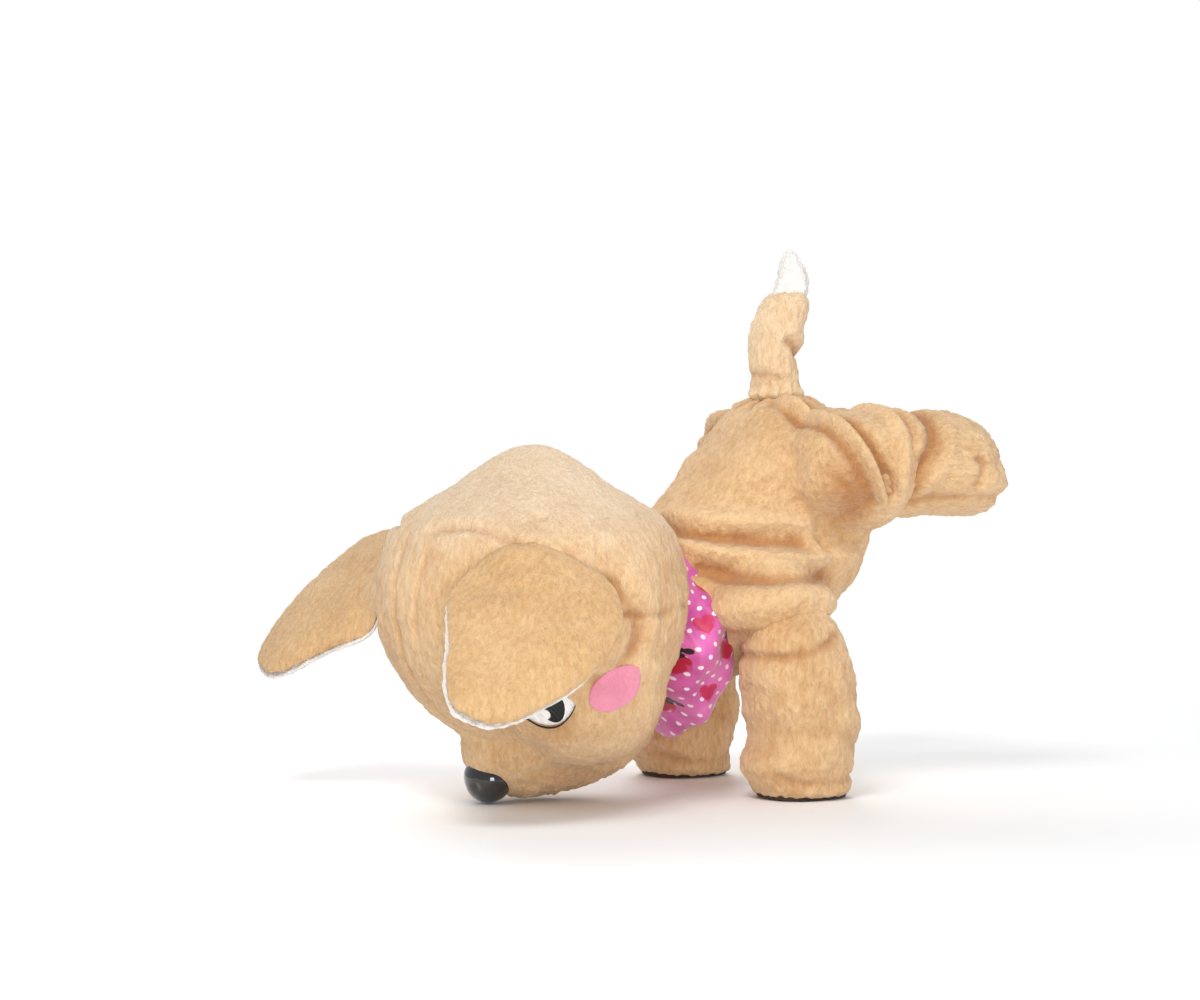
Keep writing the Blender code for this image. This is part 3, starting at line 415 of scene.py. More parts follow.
def ease(value, low, high):
    """0 below low, 1 above high, and smooth between."""
    share = np.clip((value - low) / (high - low), 0.0, 1.0)
    return share * share * (3 - 2 * share)


def lumps(points, size, seed=0.0):
    """Soft random bulges of about that size, from -1 to 1."""
    shift = Vector((seed, -seed, seed * 0.5))
    return np.array([noise.noise(Vector(point) / size + shift) for point in points])


def comb(piece, lay, height=0.0007):
    """Raise the pile: fine tufts that lean along the lay."""
    points, facing = surface(piece)
    lay = np.array(lay, float)
    drawn = points - 0.5 * lay * (points @ lay)[:, None]
    tufts = lumps(drawn, 0.0024) + 0.6 * lumps(points, 0.0055, 3.0)
    lean = lay * (np.maximum(tufts, 0) * height * 0.5)[:, None]
    reshape(piece, points + facing * (tufts * height)[:, None] + lean)


def millimetres(*spots):
    return [tuple(value / 1000 for value in spot) for spot in spots]


form = bmesh.new()
ball(form, HEAD, HEAD_RADII)
for side in (-1, 1):
    ball(form, HEAD + Vector((0.009, side * 0.034, -0.041)), (0.040, 0.036, 0.036))
loft(form, [ring(Vector((x, 0, z)), (0, 1, 0), MUZZLE_UP, wide, high) for x, z, high, wide in MUZZLE])
ball(form, (-0.0860, 0.0, 0.0240), (0.0165, 0.0210, 0.0150))
# The head's pile gets painted light towards its top.
head = fuse("head_skin_plush", form, plush("head_plush", top_light_heights=(0.112, 0.142)), 14)

points, facing = surface(head)
peak = ease(points[:, 2], HEAD.z + 0.031, HEAD.z + 0.068)
middle = np.array(HEAD)[:2]
points[:, :2] = middle + (points[:, :2] - middle) * (1 - 0.36 * peak)[:, None]
points[:, 2] = np.maximum(points[:, 2], 0.0012 + 0.12 * (points[:, 2] - 0.0012))
reshape(head, points)
points, facing = surface(head)
both = points.copy()
both[:, 1] = np.abs(both[:, 1])
across = np.abs(points[:, 1])
front = ease(-points[:, 0], 0.085, 0.110)
forehead = millimetres((-142, 0, 131), (-129, 20, 131), (-117, 40, 131), (-106, 60, 124))
dart = millimetres((-131, 22, 130), (-139, 20, 104), (-134, 15, 78), (-122, 12, 58))
side_seam = millimetres((-66, 78, 92), (-48, 74, 91), (-32, 66, 92), (-12, 50, 94))
behind_ear = millimetres((-68, 77, 106), (-55, 77, 92), (-52, 74, 78), (-62, 70, 66))
behind_ear_too = millimetres((-58, 76, 112), (-44, 74, 96), (-42, 71, 80))
jaw_fold = millimetres((-70, 68, 61), (-54, 66, 58), (-34, 56, 57))
eye_corner = millimetres((-104, 45, 40), (-92, 52, 38), (-80, 56, 42))
middle_seam = across + 0.02 * (1 - front) + 0.02 * ease(points[:, 2], 0.128, 0.134)
depth = np.zeros(len(points))
depth -= 0.0022 * swell(away(both, forehead), 0.0022)
depth += 0.0006 * swell(away(both, forehead) - 0.0060, 0.0050)
depth -= 0.0018 * swell(away(both, dart), 0.0022)
depth -= 0.0016 * swell(middle_seam, 0.0022)
depth -= 0.0022 * swell(away(both, side_seam), 0.0020)
depth -= 0.0024 * swell(away(both, behind_ear), 0.0040)
depth += 0.0018 * swell(away(both, behind_ear_too), 0.0050)
depth -= 0.0026 * swell(away(both, jaw_fold), 0.0045)
depth += 0.0020 * swell(away(both, millimetres((-70, 66, 70), (-54, 68, 68), (-34, 62, 66))), 0.0060)
depth -= 0.0014 * swell(away(both, eye_corner), 0.0060)
depth += 0.0011 * lumps(points, 0.024) + 0.0006 * lumps(points, 0.010, 5.0)
shape_folds(head, depth)
head_hull = BVHTree.FromObject(head, bpy.context.evaluated_depsgraph_get())
comb(head, (0.3, 0.0, -0.95))
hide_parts("head_skin")
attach(head, "torso")

# ---------------------------------------------------------------- face
# Embroidered eyes and felt cheeks, stitched flat on the head: a white almond, a black pupil
# with a white glint, a thin dark lower lid, and a pink oval behind the eye.

EYE_WHITE = srgb(255, 253, 250)
EYE_BLACK = srgb(14, 12, 13)
CHEEK_PINK = srgb(246, 158, 180)


def thread(name, colour, along=(1.0, 0.0, 0.3), sheen=0.15):
    """Satin stitch: close parallel threads."""
    stitch = Look(name, Sheen_Weight=sheen)
    turned = stitch.stretched((1.0, 0.25, 0.9))
    sockets = {"Vector": turned, "Scale": 420.0, "Distortion": 1.5}
    wave = stitch.node("ShaderNodeTexWave", {"bands_direction": "DIAGONAL"}, sockets, "Fac")
    wear = stitch.grain(160.0, 3.0)
    dim = tuple(part * 0.90 for part in colour[:3]) + (1.0,)
    tone = stitch.mix(stitch.spread(wave * 0.6 + wear * 0.4, 0.2, 0.8), dim, colour)
    return stitch.finish(tone, 0.42 + 0.25 * wear, wave, 0.0003)


def felt(name, pale, deep):
    """Brushed felt with matted fibres."""
    mat = Look(name, Sheen_Weight=0.35, Sheen_Roughness=0.5)
    fibre = mat.grain(900.0, 3.0, 0.7)
    cloud = mat.grain(120.0, 2.0)
    tone = mat.mix(mat.spread(fibre * 0.6 + cloud * 0.4, 0.3, 0.7), deep, pale)
    return mat.finish(tone, 0.85 + 0.1 * fibre, fibre, 0.0006)


def pillow(name, outline, spot, above, below, material, rows=12, flat=4.0):
    """A flat closed form over an outline: spot gives the place and facing of each of its points."""
    form = bmesh.new()
    outline = np.array(outline)
    middle = outline.mean(axis=0)
    sides = len(outline)
    rim = None
    for lift in (above, -below):
        place, facing = spot(*middle)
        centre = form.verts.new(place + facing * lift)
        inner = None
        for row in range(1, rows + 1):
            share = 1 - (1 - row / rows) ** 1.4
            if row == rows and rim:
                ring_now = rim
            else:
                ring_now = []
                for edge in outline:
                    place, facing = spot(*(middle + (edge - middle) * share))
                    ring_now.append(form.verts.new(place + facing * lift * (1 - share**flat) ** 0.5))
            for step in range(sides):
                following = (step + 1) % sides
                if inner is None:
                    form.faces.new((centre, ring_now[step], ring_now[following]))
                else:
                    form.faces.new((inner[step], ring_now[step], ring_now[following], inner[following]))
            inner = ring_now
        rim = rim or inner
    piece = made_of(name, form)
    piece.data.materials.append(material)
    return piece


def on_head(centre, along, lift):
    """Places on the head's skin, measured along a line on it and across that line."""
    near, out, face, reach = head_hull.find_nearest(centre)
    along = (Vector(along) - out * out.dot(Vector(along))).normalized()
    over = out.cross(along)

    def spot(a, b):
        start = near + along * a + over * b + out * 0.03
        hit, facing, face, reach = head_hull.ray_cast(start, -out)
        return (hit if hit else start - out * 0.03) + out * lift, out

    return spot


def oval(half_long, half_high, pinch=0.0, sides=40):
    """An oval outline, drawn out to its ends when pinched."""
    outline = []
    for step in range(sides):
        turn = 2 * math.pi * step / sides
        narrower = 1 - pinch * math.cos(turn) ** 2
        outline.append((half_long * math.cos(turn), half_high * math.sin(turn) * narrower))
    return outline


def shifted(outline, a, b):
    return [(x + a, y + b) for x, y in outline]


EYE_AT = Vector((-0.0885, 0.0530, 0.0505))
CHEEK_AT = Vector((-0.0610, 0.0560, 0.0520))
LID_HALF = 0.0142
LID_DROOP = 0.0106
LID_STEPS = 24
PATCH_SUNK = 0.0016  # how far a patch's underside goes into the pile
eye_white = thread("eye_white_thread", EYE_WHITE)
eye_black = thread("eye_black_thread", EYE_BLACK, sheen=0.0)
cheek_pink = felt("cheek_felt", CHEEK_PINK, srgb(232, 138, 165))
for side, sign in (("left", -1), ("right", 1)):
    eye_at = EYE_AT * Vector((1, sign, 1))
    along = Vector((0.88, sign * 0.40, 0.24))
    up = -sign
    parts = (
        ("eye_patch", oval(0.0138, 0.0098, 0.35), (0.0, 0.0), 0.0004, 0.0012, eye_white),
        ("eye_pupil", oval(0.0056, 0.0078), (0.0040, 0.0005), 0.0014, 0.0007, eye_black),
        ("eye_glint", oval(0.0026, 0.0028), (0.0002, -0.0022), 0.0020, 0.0006, eye_white),
    )
    for kind, outline, (a, b), lift, thick, material in parts:
        outline = shifted([(x, y * up) for x, y in outline], a, b * up)
        spot = on_head(eye_at, along, lift)
        piece = pillow(f"{kind}_{side}_stitched", outline, spot, thick, PATCH_SUNK, material, 8)
        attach(piece, "torso")
        if kind == "eye_patch":
            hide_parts(f"eye_patch_{side}")
    spot = on_head(eye_at, along, 0.0014)
    form = bmesh.new()
    rings = []
    for step in range(LID_STEPS + 1):
        share = step / LID_STEPS
        droop = -up * LID_DROOP * math.sin(math.pi * share) ** 0.8
        place, out = spot(LID_HALF * (2 * share - 1), droop)
        over = Vector(out).cross(Vector(along)).normalized()
        rings.append(ring(place, over, out, 0.0005, 0.0004, 2.0, 10))
    loft(form, rings)
    piece = made_of(f"eye_lid_{side}_stitched", form)
    piece.data.materials.append(eye_black)
    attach(piece, "torso")
    cheek = pillow(
        f"cheek_patch_{side}_felt",
        oval(0.0135, 0.0085),
        on_head(CHEEK_AT * Vector((1, sign, 1)), (0.90, sign * 0.18, 0.42), 0.0004),
        0.0013,
        PATCH_SUNK,
        cheek_pink,
        10,
    )
    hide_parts(f"cheek_patch_{side}")
    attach(cheek, "torso")

# ---------------------------------------------------------------- nose
# A moulded glossy button with two nostril dimples. The nose washer sits inside the muzzle.

NOSE_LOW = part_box("nose")[0]
NOSE_AT = Vector((NOSE_LOW.x + 0.0105, 0.0, 0.0112))
form = bmesh.new()
ball(form, NOSE_AT, (0.0112, 0.0136, 0.0116))
gloss = Look("nose_moulded", Roughness=0.10, Coat_Weight=1.0, Coat_Roughness=0.02)
scuff = gloss.grain(260.0, 4.0, 0.6)
tone = gloss.mix(gloss.spread(scuff, 0.45, 0.75), srgb(9, 8, 10), srgb(30, 27, 30))
nose = fuse("nose_button", form, gloss.finish(tone, 0.07 + 0.08 * scuff, scuff, 0.00002), 3, 0.0011)
points, facing = surface(nose)
level = points - np.array(NOSE_AT)
dimple = np.hypot(np.abs(level[:, 1]) - 0.0058, level[:, 2] + 0.0030)
change = -0.0012 * swell(dimple, 0.0020) * (level[:, 0] < 0)
reshape(nose, points + facing * change[:, None])
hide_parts("nose")
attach(nose, "torso")

# ---------------------------------------------------------------- ears
# Two leaves of plush lined with white fleece, sewn flat into the side of the head and hanging
# over it. The left one lies over the eye, and the right one swings clear of the head.


def inflate(piece, cap, pressure=4.0):
    """Blow the closed piece up as cloth, letting no point go further than cap."""
    start = surface(piece)[0]
    cloth = piece.modifiers.new("cloth", "CLOTH")
    cloth.settings.use_pressure = True
    cloth.settings.uniform_pressure_force = pressure
    cloth.settings.effector_weights.gravity = 0.0
    cloth.settings.quality = 5
    cloth.collision_settings.use_collision = False
    cloth.point_cache.frame_start = 1
    cloth.point_cache.frame_end = 20
    for moment in range(1, 21):
        bpy.context.scene.frame_set(moment)
    settle(piece)
    bpy.context.scene.frame_set(1)
    went = surface(piece)[0] - start
    length = np.maximum(np.linalg.norm(went, axis=1), 1e-9)
    reshape(piece, start + went * (cap * np.tanh(length / cap) / length)[:, None])


# along the ear from its root, across it
EAR_OUTLINE = (
    (-0.008, -0.010),
    (-0.006, 0.028),
    (0.012, 0.043),
    (0.036, 0.043),
    (0.062, 0.032),
    (0.083, 0.014),
    (0.086, 0.000),
    (0.080, -0.013),
    (0.056, -0.024),
    (0.030, -0.034),
    (0.008, -0.028),
)
EAR_ROOT = Vector((-0.0971, 0.0670, 0.1140))
EAR_REACH = {"left": Vector((-0.064, 0.032, -0.077)), "right": Vector((-0.064, 0.033, -0.053))}
EAR_FACE = {"left": Vector((-0.39, 0.685, 0.613)), "right": Vector((-0.60, -0.20, 0.77))}
EAR_SIZE = {"left": (1.0, 1.0), "right": (1.06, 1.0)}
EAR_SWELL = 0.0022
fleece_white = plush("ear_fleece", srgb(250, 247, 243), srgb(226, 220, 214))
for side, sign in (("left", -1), ("right", 1)):
    flip = Vector((1, sign, 1))
    reach = EAR_REACH[side] * flip
    down = reach.normalized()
    out = EAR_FACE[side] * flip
    out = (out - down * out.dot(down)).normalized()
    wide = down.cross(out) * -sign
    if wide.x < 0:
        wide = -wide
    long, broad = EAR_SIZE[side]

    def spot(a, b, lift=0.0):
        sag = 0.35 * (b / 0.04) ** 2 * 0.010 + 0.006 * max(a / 0.1 - 0.3, 0.0) ** 2
        place = EAR_ROOT * flip + down * a + wide * b - out * sag
        near, facing, face, reach = head_hull.find_nearest(place)
        clear = (place - near).dot(facing)
        wanted = 0.0062 * min(max(a / 0.03, 0.0), 1.0) - 0.001
        if clear < wanted + 0.004:
            push = wanted - clear
            place = place + out * (0.5 * (push + math.hypot(push, 0.003)))
        return place + out * lift, out

    shape = [(a * long, b * broad) for a, b in EAR_OUTLINE]
    outline = rounded(shape, 9, closed=True)[:-1]
    pile = plush(f"ear_plush_{side}", srgb(232, 195, 146), srgb(196, 150, 98))
    ear = pillow(f"ear_{side}_plush", outline, spot, 0.0062, 0.0004, pile, 26)

    def under(a, b):
        return spot(a, b, -0.0012)

    wider = [(a + 0.0014, b * 0.985 - 0.0008) for a, b in outline]
    lining = pillow(f"ear_lining_{side}_fleece", wider, under, 0.0004, 0.0034, fleece_white, 22)
    inflate(ear, EAR_SWELL)
    for piece, part in ((ear, "ear"), (lining, "ear_lining")):
        finer = piece.modifiers.new("finer", "SUBSURF")
        finer.levels = finer.render_levels = 1
        settle(piece)
        points, facing = surface(piece)
        reshape(piece, points + facing * (0.0010 * lumps(points, 0.020, 7.0))[:, None])
        comb(piece, tuple(down * 0.8), 0.0006)
        piece.data.shade_smooth()
        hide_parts(f"{part}_{side}")
        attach(piece, "torso")

# ---------------------------------------------------------------- head stuffing
# Loose polyester fibre, packed in by hand so that it is lumpy, filling the head round the anchor
# plate of the neck post.

form = bmesh.new()
ball(form, HEAD - Vector((0, 0, 0.006)), tuple((HEAD_HIGH - HEAD_LOW) / 2 * 0.86))
wool = plush("stuffing_fibre", srgb(250, 249, 245), srgb(224, 221, 214), (1.0, 0.6, 1.0))
stuffing = fuse("stuffing_fibre_fill", form, wool, 4, 0.0045)
points, facing = surface(stuffing)
bulge = 0.0030 * lumps(points, 0.022) + 0.0014 * lumps(points, 0.009, 2.0)
reshape(stuffing, points + facing * bulge[:, None])
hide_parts("head_stuffing")
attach(stuffing, "torso")

# ---------------------------------------------------------------- torso skin
# A loose tube of plush over the hard casing. It is cut too long for the casing on purpose, so
# that it can stretch when the puppy stands: in the handstand the spare length slides down and
# bunches into folds across the ribs, over the shoulders and round the hips. A hemmed opening on
# the belly gives access to the battery cover and the switch.

LEAN = math.radians(49.0)
SPINE = Vector((math.cos(LEAN), 0.0, math.sin(LEAN)))
BELLY = Vector((math.sin(LEAN), 0.0, -math.cos(LEAN)))
SHOULDER = joint_at["shoulder_swing"]
HIP = joint_at["hip_kick"]
NECK = SHOULDER - SPINE * 0.029 - BELLY * 0.026
# along the spine, towards the belly, half depth, half width
TORSO = (
    (-0.002, 0.000, 0.0330, 0.0315),
    (0.010, 0.001, 0.0375, 0.0350),
    (0.030, 0.005, 0.0430, 0.0380),
    (0.060, 0.0085, 0.0480, 0.0385),
    (0.084, 0.0100, 0.0490, 0.0380),
    (0.102, 0.0065, 0.0460, 0.0375),
    (0.116, 0.001, 0.0392, 0.0350),
    (0.128, 0.000, 0.0330, 0.0300),
    (0.137, 0.000, 0.0240, 0.0220),
    (0.142, 0.000, 0.0120, 0.0120),
)
# haunch sections over the hip: along X from the axle, half height, half width
HAUNCH = (
    (-0.0300, 0.0120, 0.0140),
    (-0.0240, 0.0200, 0.0220),
    (-0.0100, 0.0248, 0.0265),
    (0.0080, 0.0252, 0.0275),
    (0.0200, 0.0250, 0.0270),
    (0.0255, 0.0225, 0.0245),
)
OPENING_U = (0.034, 0.103)
OPENING_HALF = 0.0205
OPENING_FLOOR = 0.0315
HEM_STEP = 0.009


def along_spine(u, v=0.0, y=0.0):
    """A point u up the spine from the neck and v out towards the belly."""
    return NECK + SPINE * u + BELLY * v + Vector((0, y, 0))


form = bmesh.new()
loft(form, [ring(along_spine(u, v), (0, 1, 0), BELLY, wide, deep, 3.0) for u, v, deep, wide in TORSO])
for side in (-1, 1):
    ball(form, (SHOULDER.x - 0.005, side * 0.042, SHOULDER.z + 0.013), (0.031, 0.027, 0.021))
    ball(form, (SHOULDER.x + 0.004, side * 0.026, SHOULDER.z + 0.026), (0.038, 0.022, 0.026))
    ball(form, (HIP.x + 0.008, side * 0.036, HIP.z - 0.020), (0.022, 0.022, 0.013))
    rings = []
    for x, tall, wide in HAUNCH:
        rings.append(ring((HIP.x + x, side * 0.040, HIP.z), (0, 1, 0), (0, 0, 1), wide, tall, 2.4))
    loft(form, rings)
torso = fuse("torso_skin_plush", form, plush("torso_plush", lay=(0.6, 1.0, 0.6)), 16)

points, facing = surface(torso)
side_way = np.sign(points[:, 1])
flat = points[:, (0, 2)] + np.stack([0.0012 * side_way, 0.0018 * side_way], axis=1)
flat = flat + 0.0012 * np.stack([lumps(points, 0.030, 1.0), lumps(points, 0.030, 4.0)], axis=1)
depth = np.zeros(len(points))
FOLDS = (
    # a line across the side (X, Z), how far it stands out or sinks, and its width
    (millimetres((-2, 135), (14, 131), (36, 129), (62, 128)), 0.0034, 0.0046),
    (millimetres((-2, 126), (16, 122), (38, 120), (58, 120)), -0.0036, 0.0042),
    (millimetres((0, 119), (20, 114), (44, 110), (70, 111), (90, 112)), 0.0044, 0.0046),
    (millimetres((58, 124), (64, 118), (70, 112)), 0.0022, 0.0030),
    (millimetres((6, 108), (22, 104), (46, 103), (68, 104)), -0.0042, 0.0048),
    (millimetres((4, 86), (18, 92), (36, 97), (52, 95), (64, 90)), 0.0030, 0.0066),
    (millimetres((4, 77), (22, 77), (44, 78), (66, 83)), -0.0022, 0.0030),
    (millimetres((78, 118), (84, 104), (82, 90)), 0.0018, 0.0050),
    (millimetres((70, 116), (75, 104), (74, 92)), -0.0018, 0.0040),
    (millimetres((67, 185), (74, 170), (84, 152), (91, 141)), 0.0052, 0.0030),
    (millimetres((61, 182), (68, 167), (78, 151), (86, 140)), -0.0028, 0.0036),
    (millimetres((73, 186), (80, 171), (89, 154), (95, 142)), -0.0044, 0.0028),
    (millimetres((98, 187), (100, 168), (99, 150), (98, 138)), 0.0044, 0.0036),
    (millimetres((91, 150), (94, 144), (98, 136)), -0.0020, 0.0030),
    (millimetres((28, 163), (40, 156), (58, 150)), 0.0018, 0.0070),
    (millimetres((60, 152), (72, 144), (80, 134)), -0.0028, 0.0070),
)
for line, rise, width in FOLDS:
    depth += rise * swell(away(flat, line), width)
depth += 0.0010 * lumps(points, 0.030, 2.0) + 0.0006 * lumps(points, 0.012, 6.0)
u = (points - np.array(NECK)) @ np.array(SPINE)
v = (points - np.array(NECK)) @ np.array(BELLY)
gather = np.hypot(points[:, 0] - joint_at["tail_wag"].x, points[:, 1])
around = np.arctan2(points[:, 1], points[:, 0] - joint_at["tail_wag"].x)
depth += 0.0012 * np.sin(around * 9) * swell(gather - 0.016, 0.006) * (points[:, 2] > 0.17)
near_opening = (np.abs(points[:, 1]) < OPENING_HALF + 0.006) * (u > OPENING_U[0] - 0.006)
depth *= 1 - 0.7 * ease(v, 0.030, 0.040) * near_opening
shape_folds(torso, np.maximum(depth, -0.0040))
comb(torso, tuple(-SPINE * 0.7))

form = bmesh.new()
form.from_mesh(torso.data)
cover = []
for face in form.faces:
    offset = face.calc_center_median() - NECK
    inside = OPENING_U[0] < offset.dot(SPINE) < OPENING_U[1]
    if inside and abs(offset.y) < OPENING_HALF and offset.dot(BELLY) > OPENING_FLOOR - 0.004:
        cover.append(face)
bmesh.ops.delete(form, geom=cover, context="FACES")
edge = [line for line in form.edges if line.is_boundary]
for vert in {vert for line in edge for vert in line.verts}:
    offset = vert.co - NECK
    u = offset.dot(SPINE)
    ends = (abs(u - OPENING_U[0]), abs(u - OPENING_U[1]))
    nearest = ends.index(min(ends))
    if abs(OPENING_HALF - abs(offset.y)) < ends[nearest]:
        vert.co.y = math.copysign(OPENING_HALF, offset.y)
    else:
        vert.co += SPINE * (OPENING_U[nearest] - u)
for fold in range(3):
    grown = bmesh.ops.extrude_edge_only(form, edges=edge)["geom"]
    edge = [item for item in grown if isinstance(item, bmesh.types.BMEdge) and item.is_boundary]
    for vert in {vert for line in edge for vert in line.verts}:
        offset = vert.co - NECK
        wanted = max(offset.dot(BELLY) - HEM_STEP, OPENING_FLOOR)
        vert.co += BELLY * (wanted - offset.dot(BELLY))
form.to_mesh(torso.data)
form.free()
torso.data.shade_smooth()
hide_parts("torso_skin")
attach(torso, "torso")

# ---------------------------------------------------------------- scarf
# One strip of printed pink satin, wrapped once round the neck and drawn tight, lying in long
# folds. White dots, red hearts and small black pads are printed on it.

SATIN_PINK = srgb(242, 126, 204)
SATIN_DEEP = srgb(196, 62, 148)
SCARF_AT = Vector((0.0079, 0.0, 0.0800))
SCARF_TILT = math.radians(15.0)
SCARF_AXIS = Vector((math.cos(SCARF_TILT), 0.0, math.sin(SCARF_TILT)))
SCARF_UP = Vector((-math.sin(SCARF_TILT), 0.0, math.cos(SCARF_TILT)))
SCARF_WIDE = 0.034
SCARF_ROUND = 0.270
AROUND = 420
ACROSS = 40
form = bmesh.new()
cloth_map = form.loops.layers.uv.new("cloth")
grid = []
for step in range(AROUND):
    turn = 2 * math.pi * step / AROUND
    row = []
    for stitch in range(ACROSS + 1):
        share = stitch / ACROSS
        puff = 0.0075 * math.sin(math.pi * share) ** 0.8 - 0.0120 * max(0.35 - share, 0.0) / 0.35
        held = 0.35 + 0.65 * math.sin(math.pi * share)
        drape = 0.0028 * math.sin(5 * turn + 7 * share + 1.3 * math.sin(2 * turn))
        drape += 0.0014 * math.sin(9 * turn - 9 * share + 0.7)
        drape += 0.0007 * math.sin(3 * turn + 16 * share)
        reach = 0.0355 + puff + drape * held
        rise = 0.0415 - 0.0035 * max(share - 0.6, 0.0) / 0.4 + puff + drape * held
        slide = -0.0260 + 0.0380 * share + 0.0020 * math.sin(turn * 2 + 1.0)
        spot = SCARF_AT + SCARF_AXIS * slide
        spot += Vector((0, 1, 0)) * (reach * math.cos(turn)) + SCARF_UP * (rise * math.sin(turn))
        row.append(form.verts.new(spot))
    grid.append(row)
for step in range(AROUND):
    for stitch in range(ACROSS):
        following = (step + 1) % AROUND
        near, far = grid[step], grid[following]
        face = form.faces.new((near[stitch], far[stitch], far[stitch + 1], near[stitch + 1]))
        corners = ((step, stitch), (step + 1, stitch), (step + 1, stitch + 1), (step, stitch + 1))
        for loop, (a, b) in zip(face.loops, corners):
            loop[cloth_map].uv = (a / AROUND * SCARF_ROUND, b / ACROSS * SCARF_WIDE)
scarf = made_of("scarf_satin", form)
cloth = scarf.modifiers.new("cloth", "SOLIDIFY")
cloth.thickness = 0.0006
cloth.offset = 0.0
settle(scarf)
scarf.data.shade_smooth()


def printed(cloth, tile, shift, radius):
    """Round dots repeated over the cloth, one to a tile."""
    wire = cloth.place
    steps = (
        ("ADD", (*shift, 0.0)),
        ("DIVIDE", (*tile, 1.0)),
        ("FRACTION", None),
        ("SUBTRACT", (0.5, 0.5, 0.0)),
        ("MULTIPLY", (tile[0] / radius, tile[1] / radius, 0.0)),
    )
    for operation, other in steps:
        sockets = {0: wire, 1: other} if other else {0: wire}
        wire = cloth.node("ShaderNodeVectorMath", {"operation": operation}, sockets)
    return wire


def dots(cloth, tile, shift, radius):
    sized = printed(cloth, tile, shift, radius)
    length = cloth.node("ShaderNodeVectorMath", {"operation": "LENGTH"}, {0: sized}, "Value")
    return cloth.spread(length, 1.12, 0.92)


def hearts(cloth, tile, shift, radius):
    """Hearts where (x^2 + y^2 - 1)^3 - x^2 y^3 is below zero."""
    sized = printed(cloth, tile, shift, radius)
    x = cloth.node("ShaderNodeSeparateXYZ", {}, {0: sized}, "Y")
    y = cloth.node("ShaderNodeSeparateXYZ", {}, {0: sized}, "X") * -1.0
    ball_part = x * x + y * y - 1.0
    return cloth.spread(ball_part * ball_part * ball_part - x * x * y * y * y, 0.05, -0.05)


satin = Look("scarf_satin", Roughness=0.32, Sheen_Weight=0.35, Anisotropic=0.3, Specular_IOR_Level=0.55)
satin.place = satin.node("ShaderNodeUVMap", {"uv_map": "cloth"})
sockets = {"Vector": satin.place, "Scale": 900.0}
weave = satin.node("ShaderNodeTexWave", {"bands_direction": "X"}, sockets, "Fac")
shade = satin.grain(60.0, 2.0)
colour = satin.mix(satin.spread(shade, 0.32, 0.68), SATIN_DEEP, SATIN_PINK)
for shift in ((0.0, 0.0), (0.0040, 0.0040)):
    colour = satin.mix(dots(satin, (0.0080, 0.0080), shift, 0.00095), colour, srgb(253, 240, 250))
colour = satin.mix(hearts(satin, (0.0340, 0.0260), (0.004, 0.009), 0.0050), colour, srgb(190, 12, 62))
colour = satin.mix(hearts(satin, (0.0340, 0.0260), (0.021, 0.020), 0.0036), colour, srgb(205, 30, 90))
for shift in ((0.010, 0.006), (0.0128, 0.0058), (0.0112, 0.0082), (0.0138, 0.0080), (0.0122, 0.0036)):
    colour = satin.mix(dots(satin, (0.0340, 0.0260), shift, 0.0014), colour, srgb(20, 14, 18))
satin_cloth = satin.finish(colour, 0.30 + 0.16 * shade, weave, 0.00005)
scarf.data.materials.append(satin_cloth)
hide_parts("scarf")
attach(scarf, "torso")

# ---------------------------------------------------------------- front legs
# Plush sleeves over the leg frames, stuffed firm at the paw. The sleeve is sewn to the torso
# under the shoulder fold, rolls over once below it, and closes round a hard dark sole.

SOLE_LOW, SOLE_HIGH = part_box("paw_sole_left")
PAW = (SOLE_LOW + SOLE_HIGH) / 2
# height, middle's shift along X, half width
FRONT_LEG = (
    (0.0008, 0.000, 0.0222),
    (0.0030, 0.000, 0.0234),
    (0.0090, -0.001, 0.0240),
    (0.0200, 0.000, 0.0252),
    (0.0340, 0.001, 0.0270),
    (0.0440, 0.000, 0.0272),
    (0.0550, -0.001, 0.0266),
    (0.0640, -0.003, 0.0262),
    (0.0720, -0.005, 0.0252),
    (0.0820, -0.005, 0.0215),
    (0.0900, -0.005, 0.0140),
    (0.0940, -0.005, 0.0060),
)
LEG_FOLDS = (
    (millimetres((18, 68), (30, 69), (46, 73), (60, 79)), -0.0022, 0.0028),
    (millimetres((22, 60), (32, 50), (30, 40)), 0.0016, 0.0060),
    (millimetres((38, 66), (46, 54), (52, 46)), -0.0009, 0.0050),
    (millimetres((62, 62), (66, 52), (74, 44)), -0.0012, 0.0040),
    (millimetres((22, 36), (34, 33), (48, 33)), -0.0010, 0.0060),
    (millimetres((60, 30), (72, 24), (76, 18)), -0.0012, 0.0040),
    (millimetres((26, 12), (40, 8), (60, 8), (74, 13)), -0.0014, 0.0026),
)
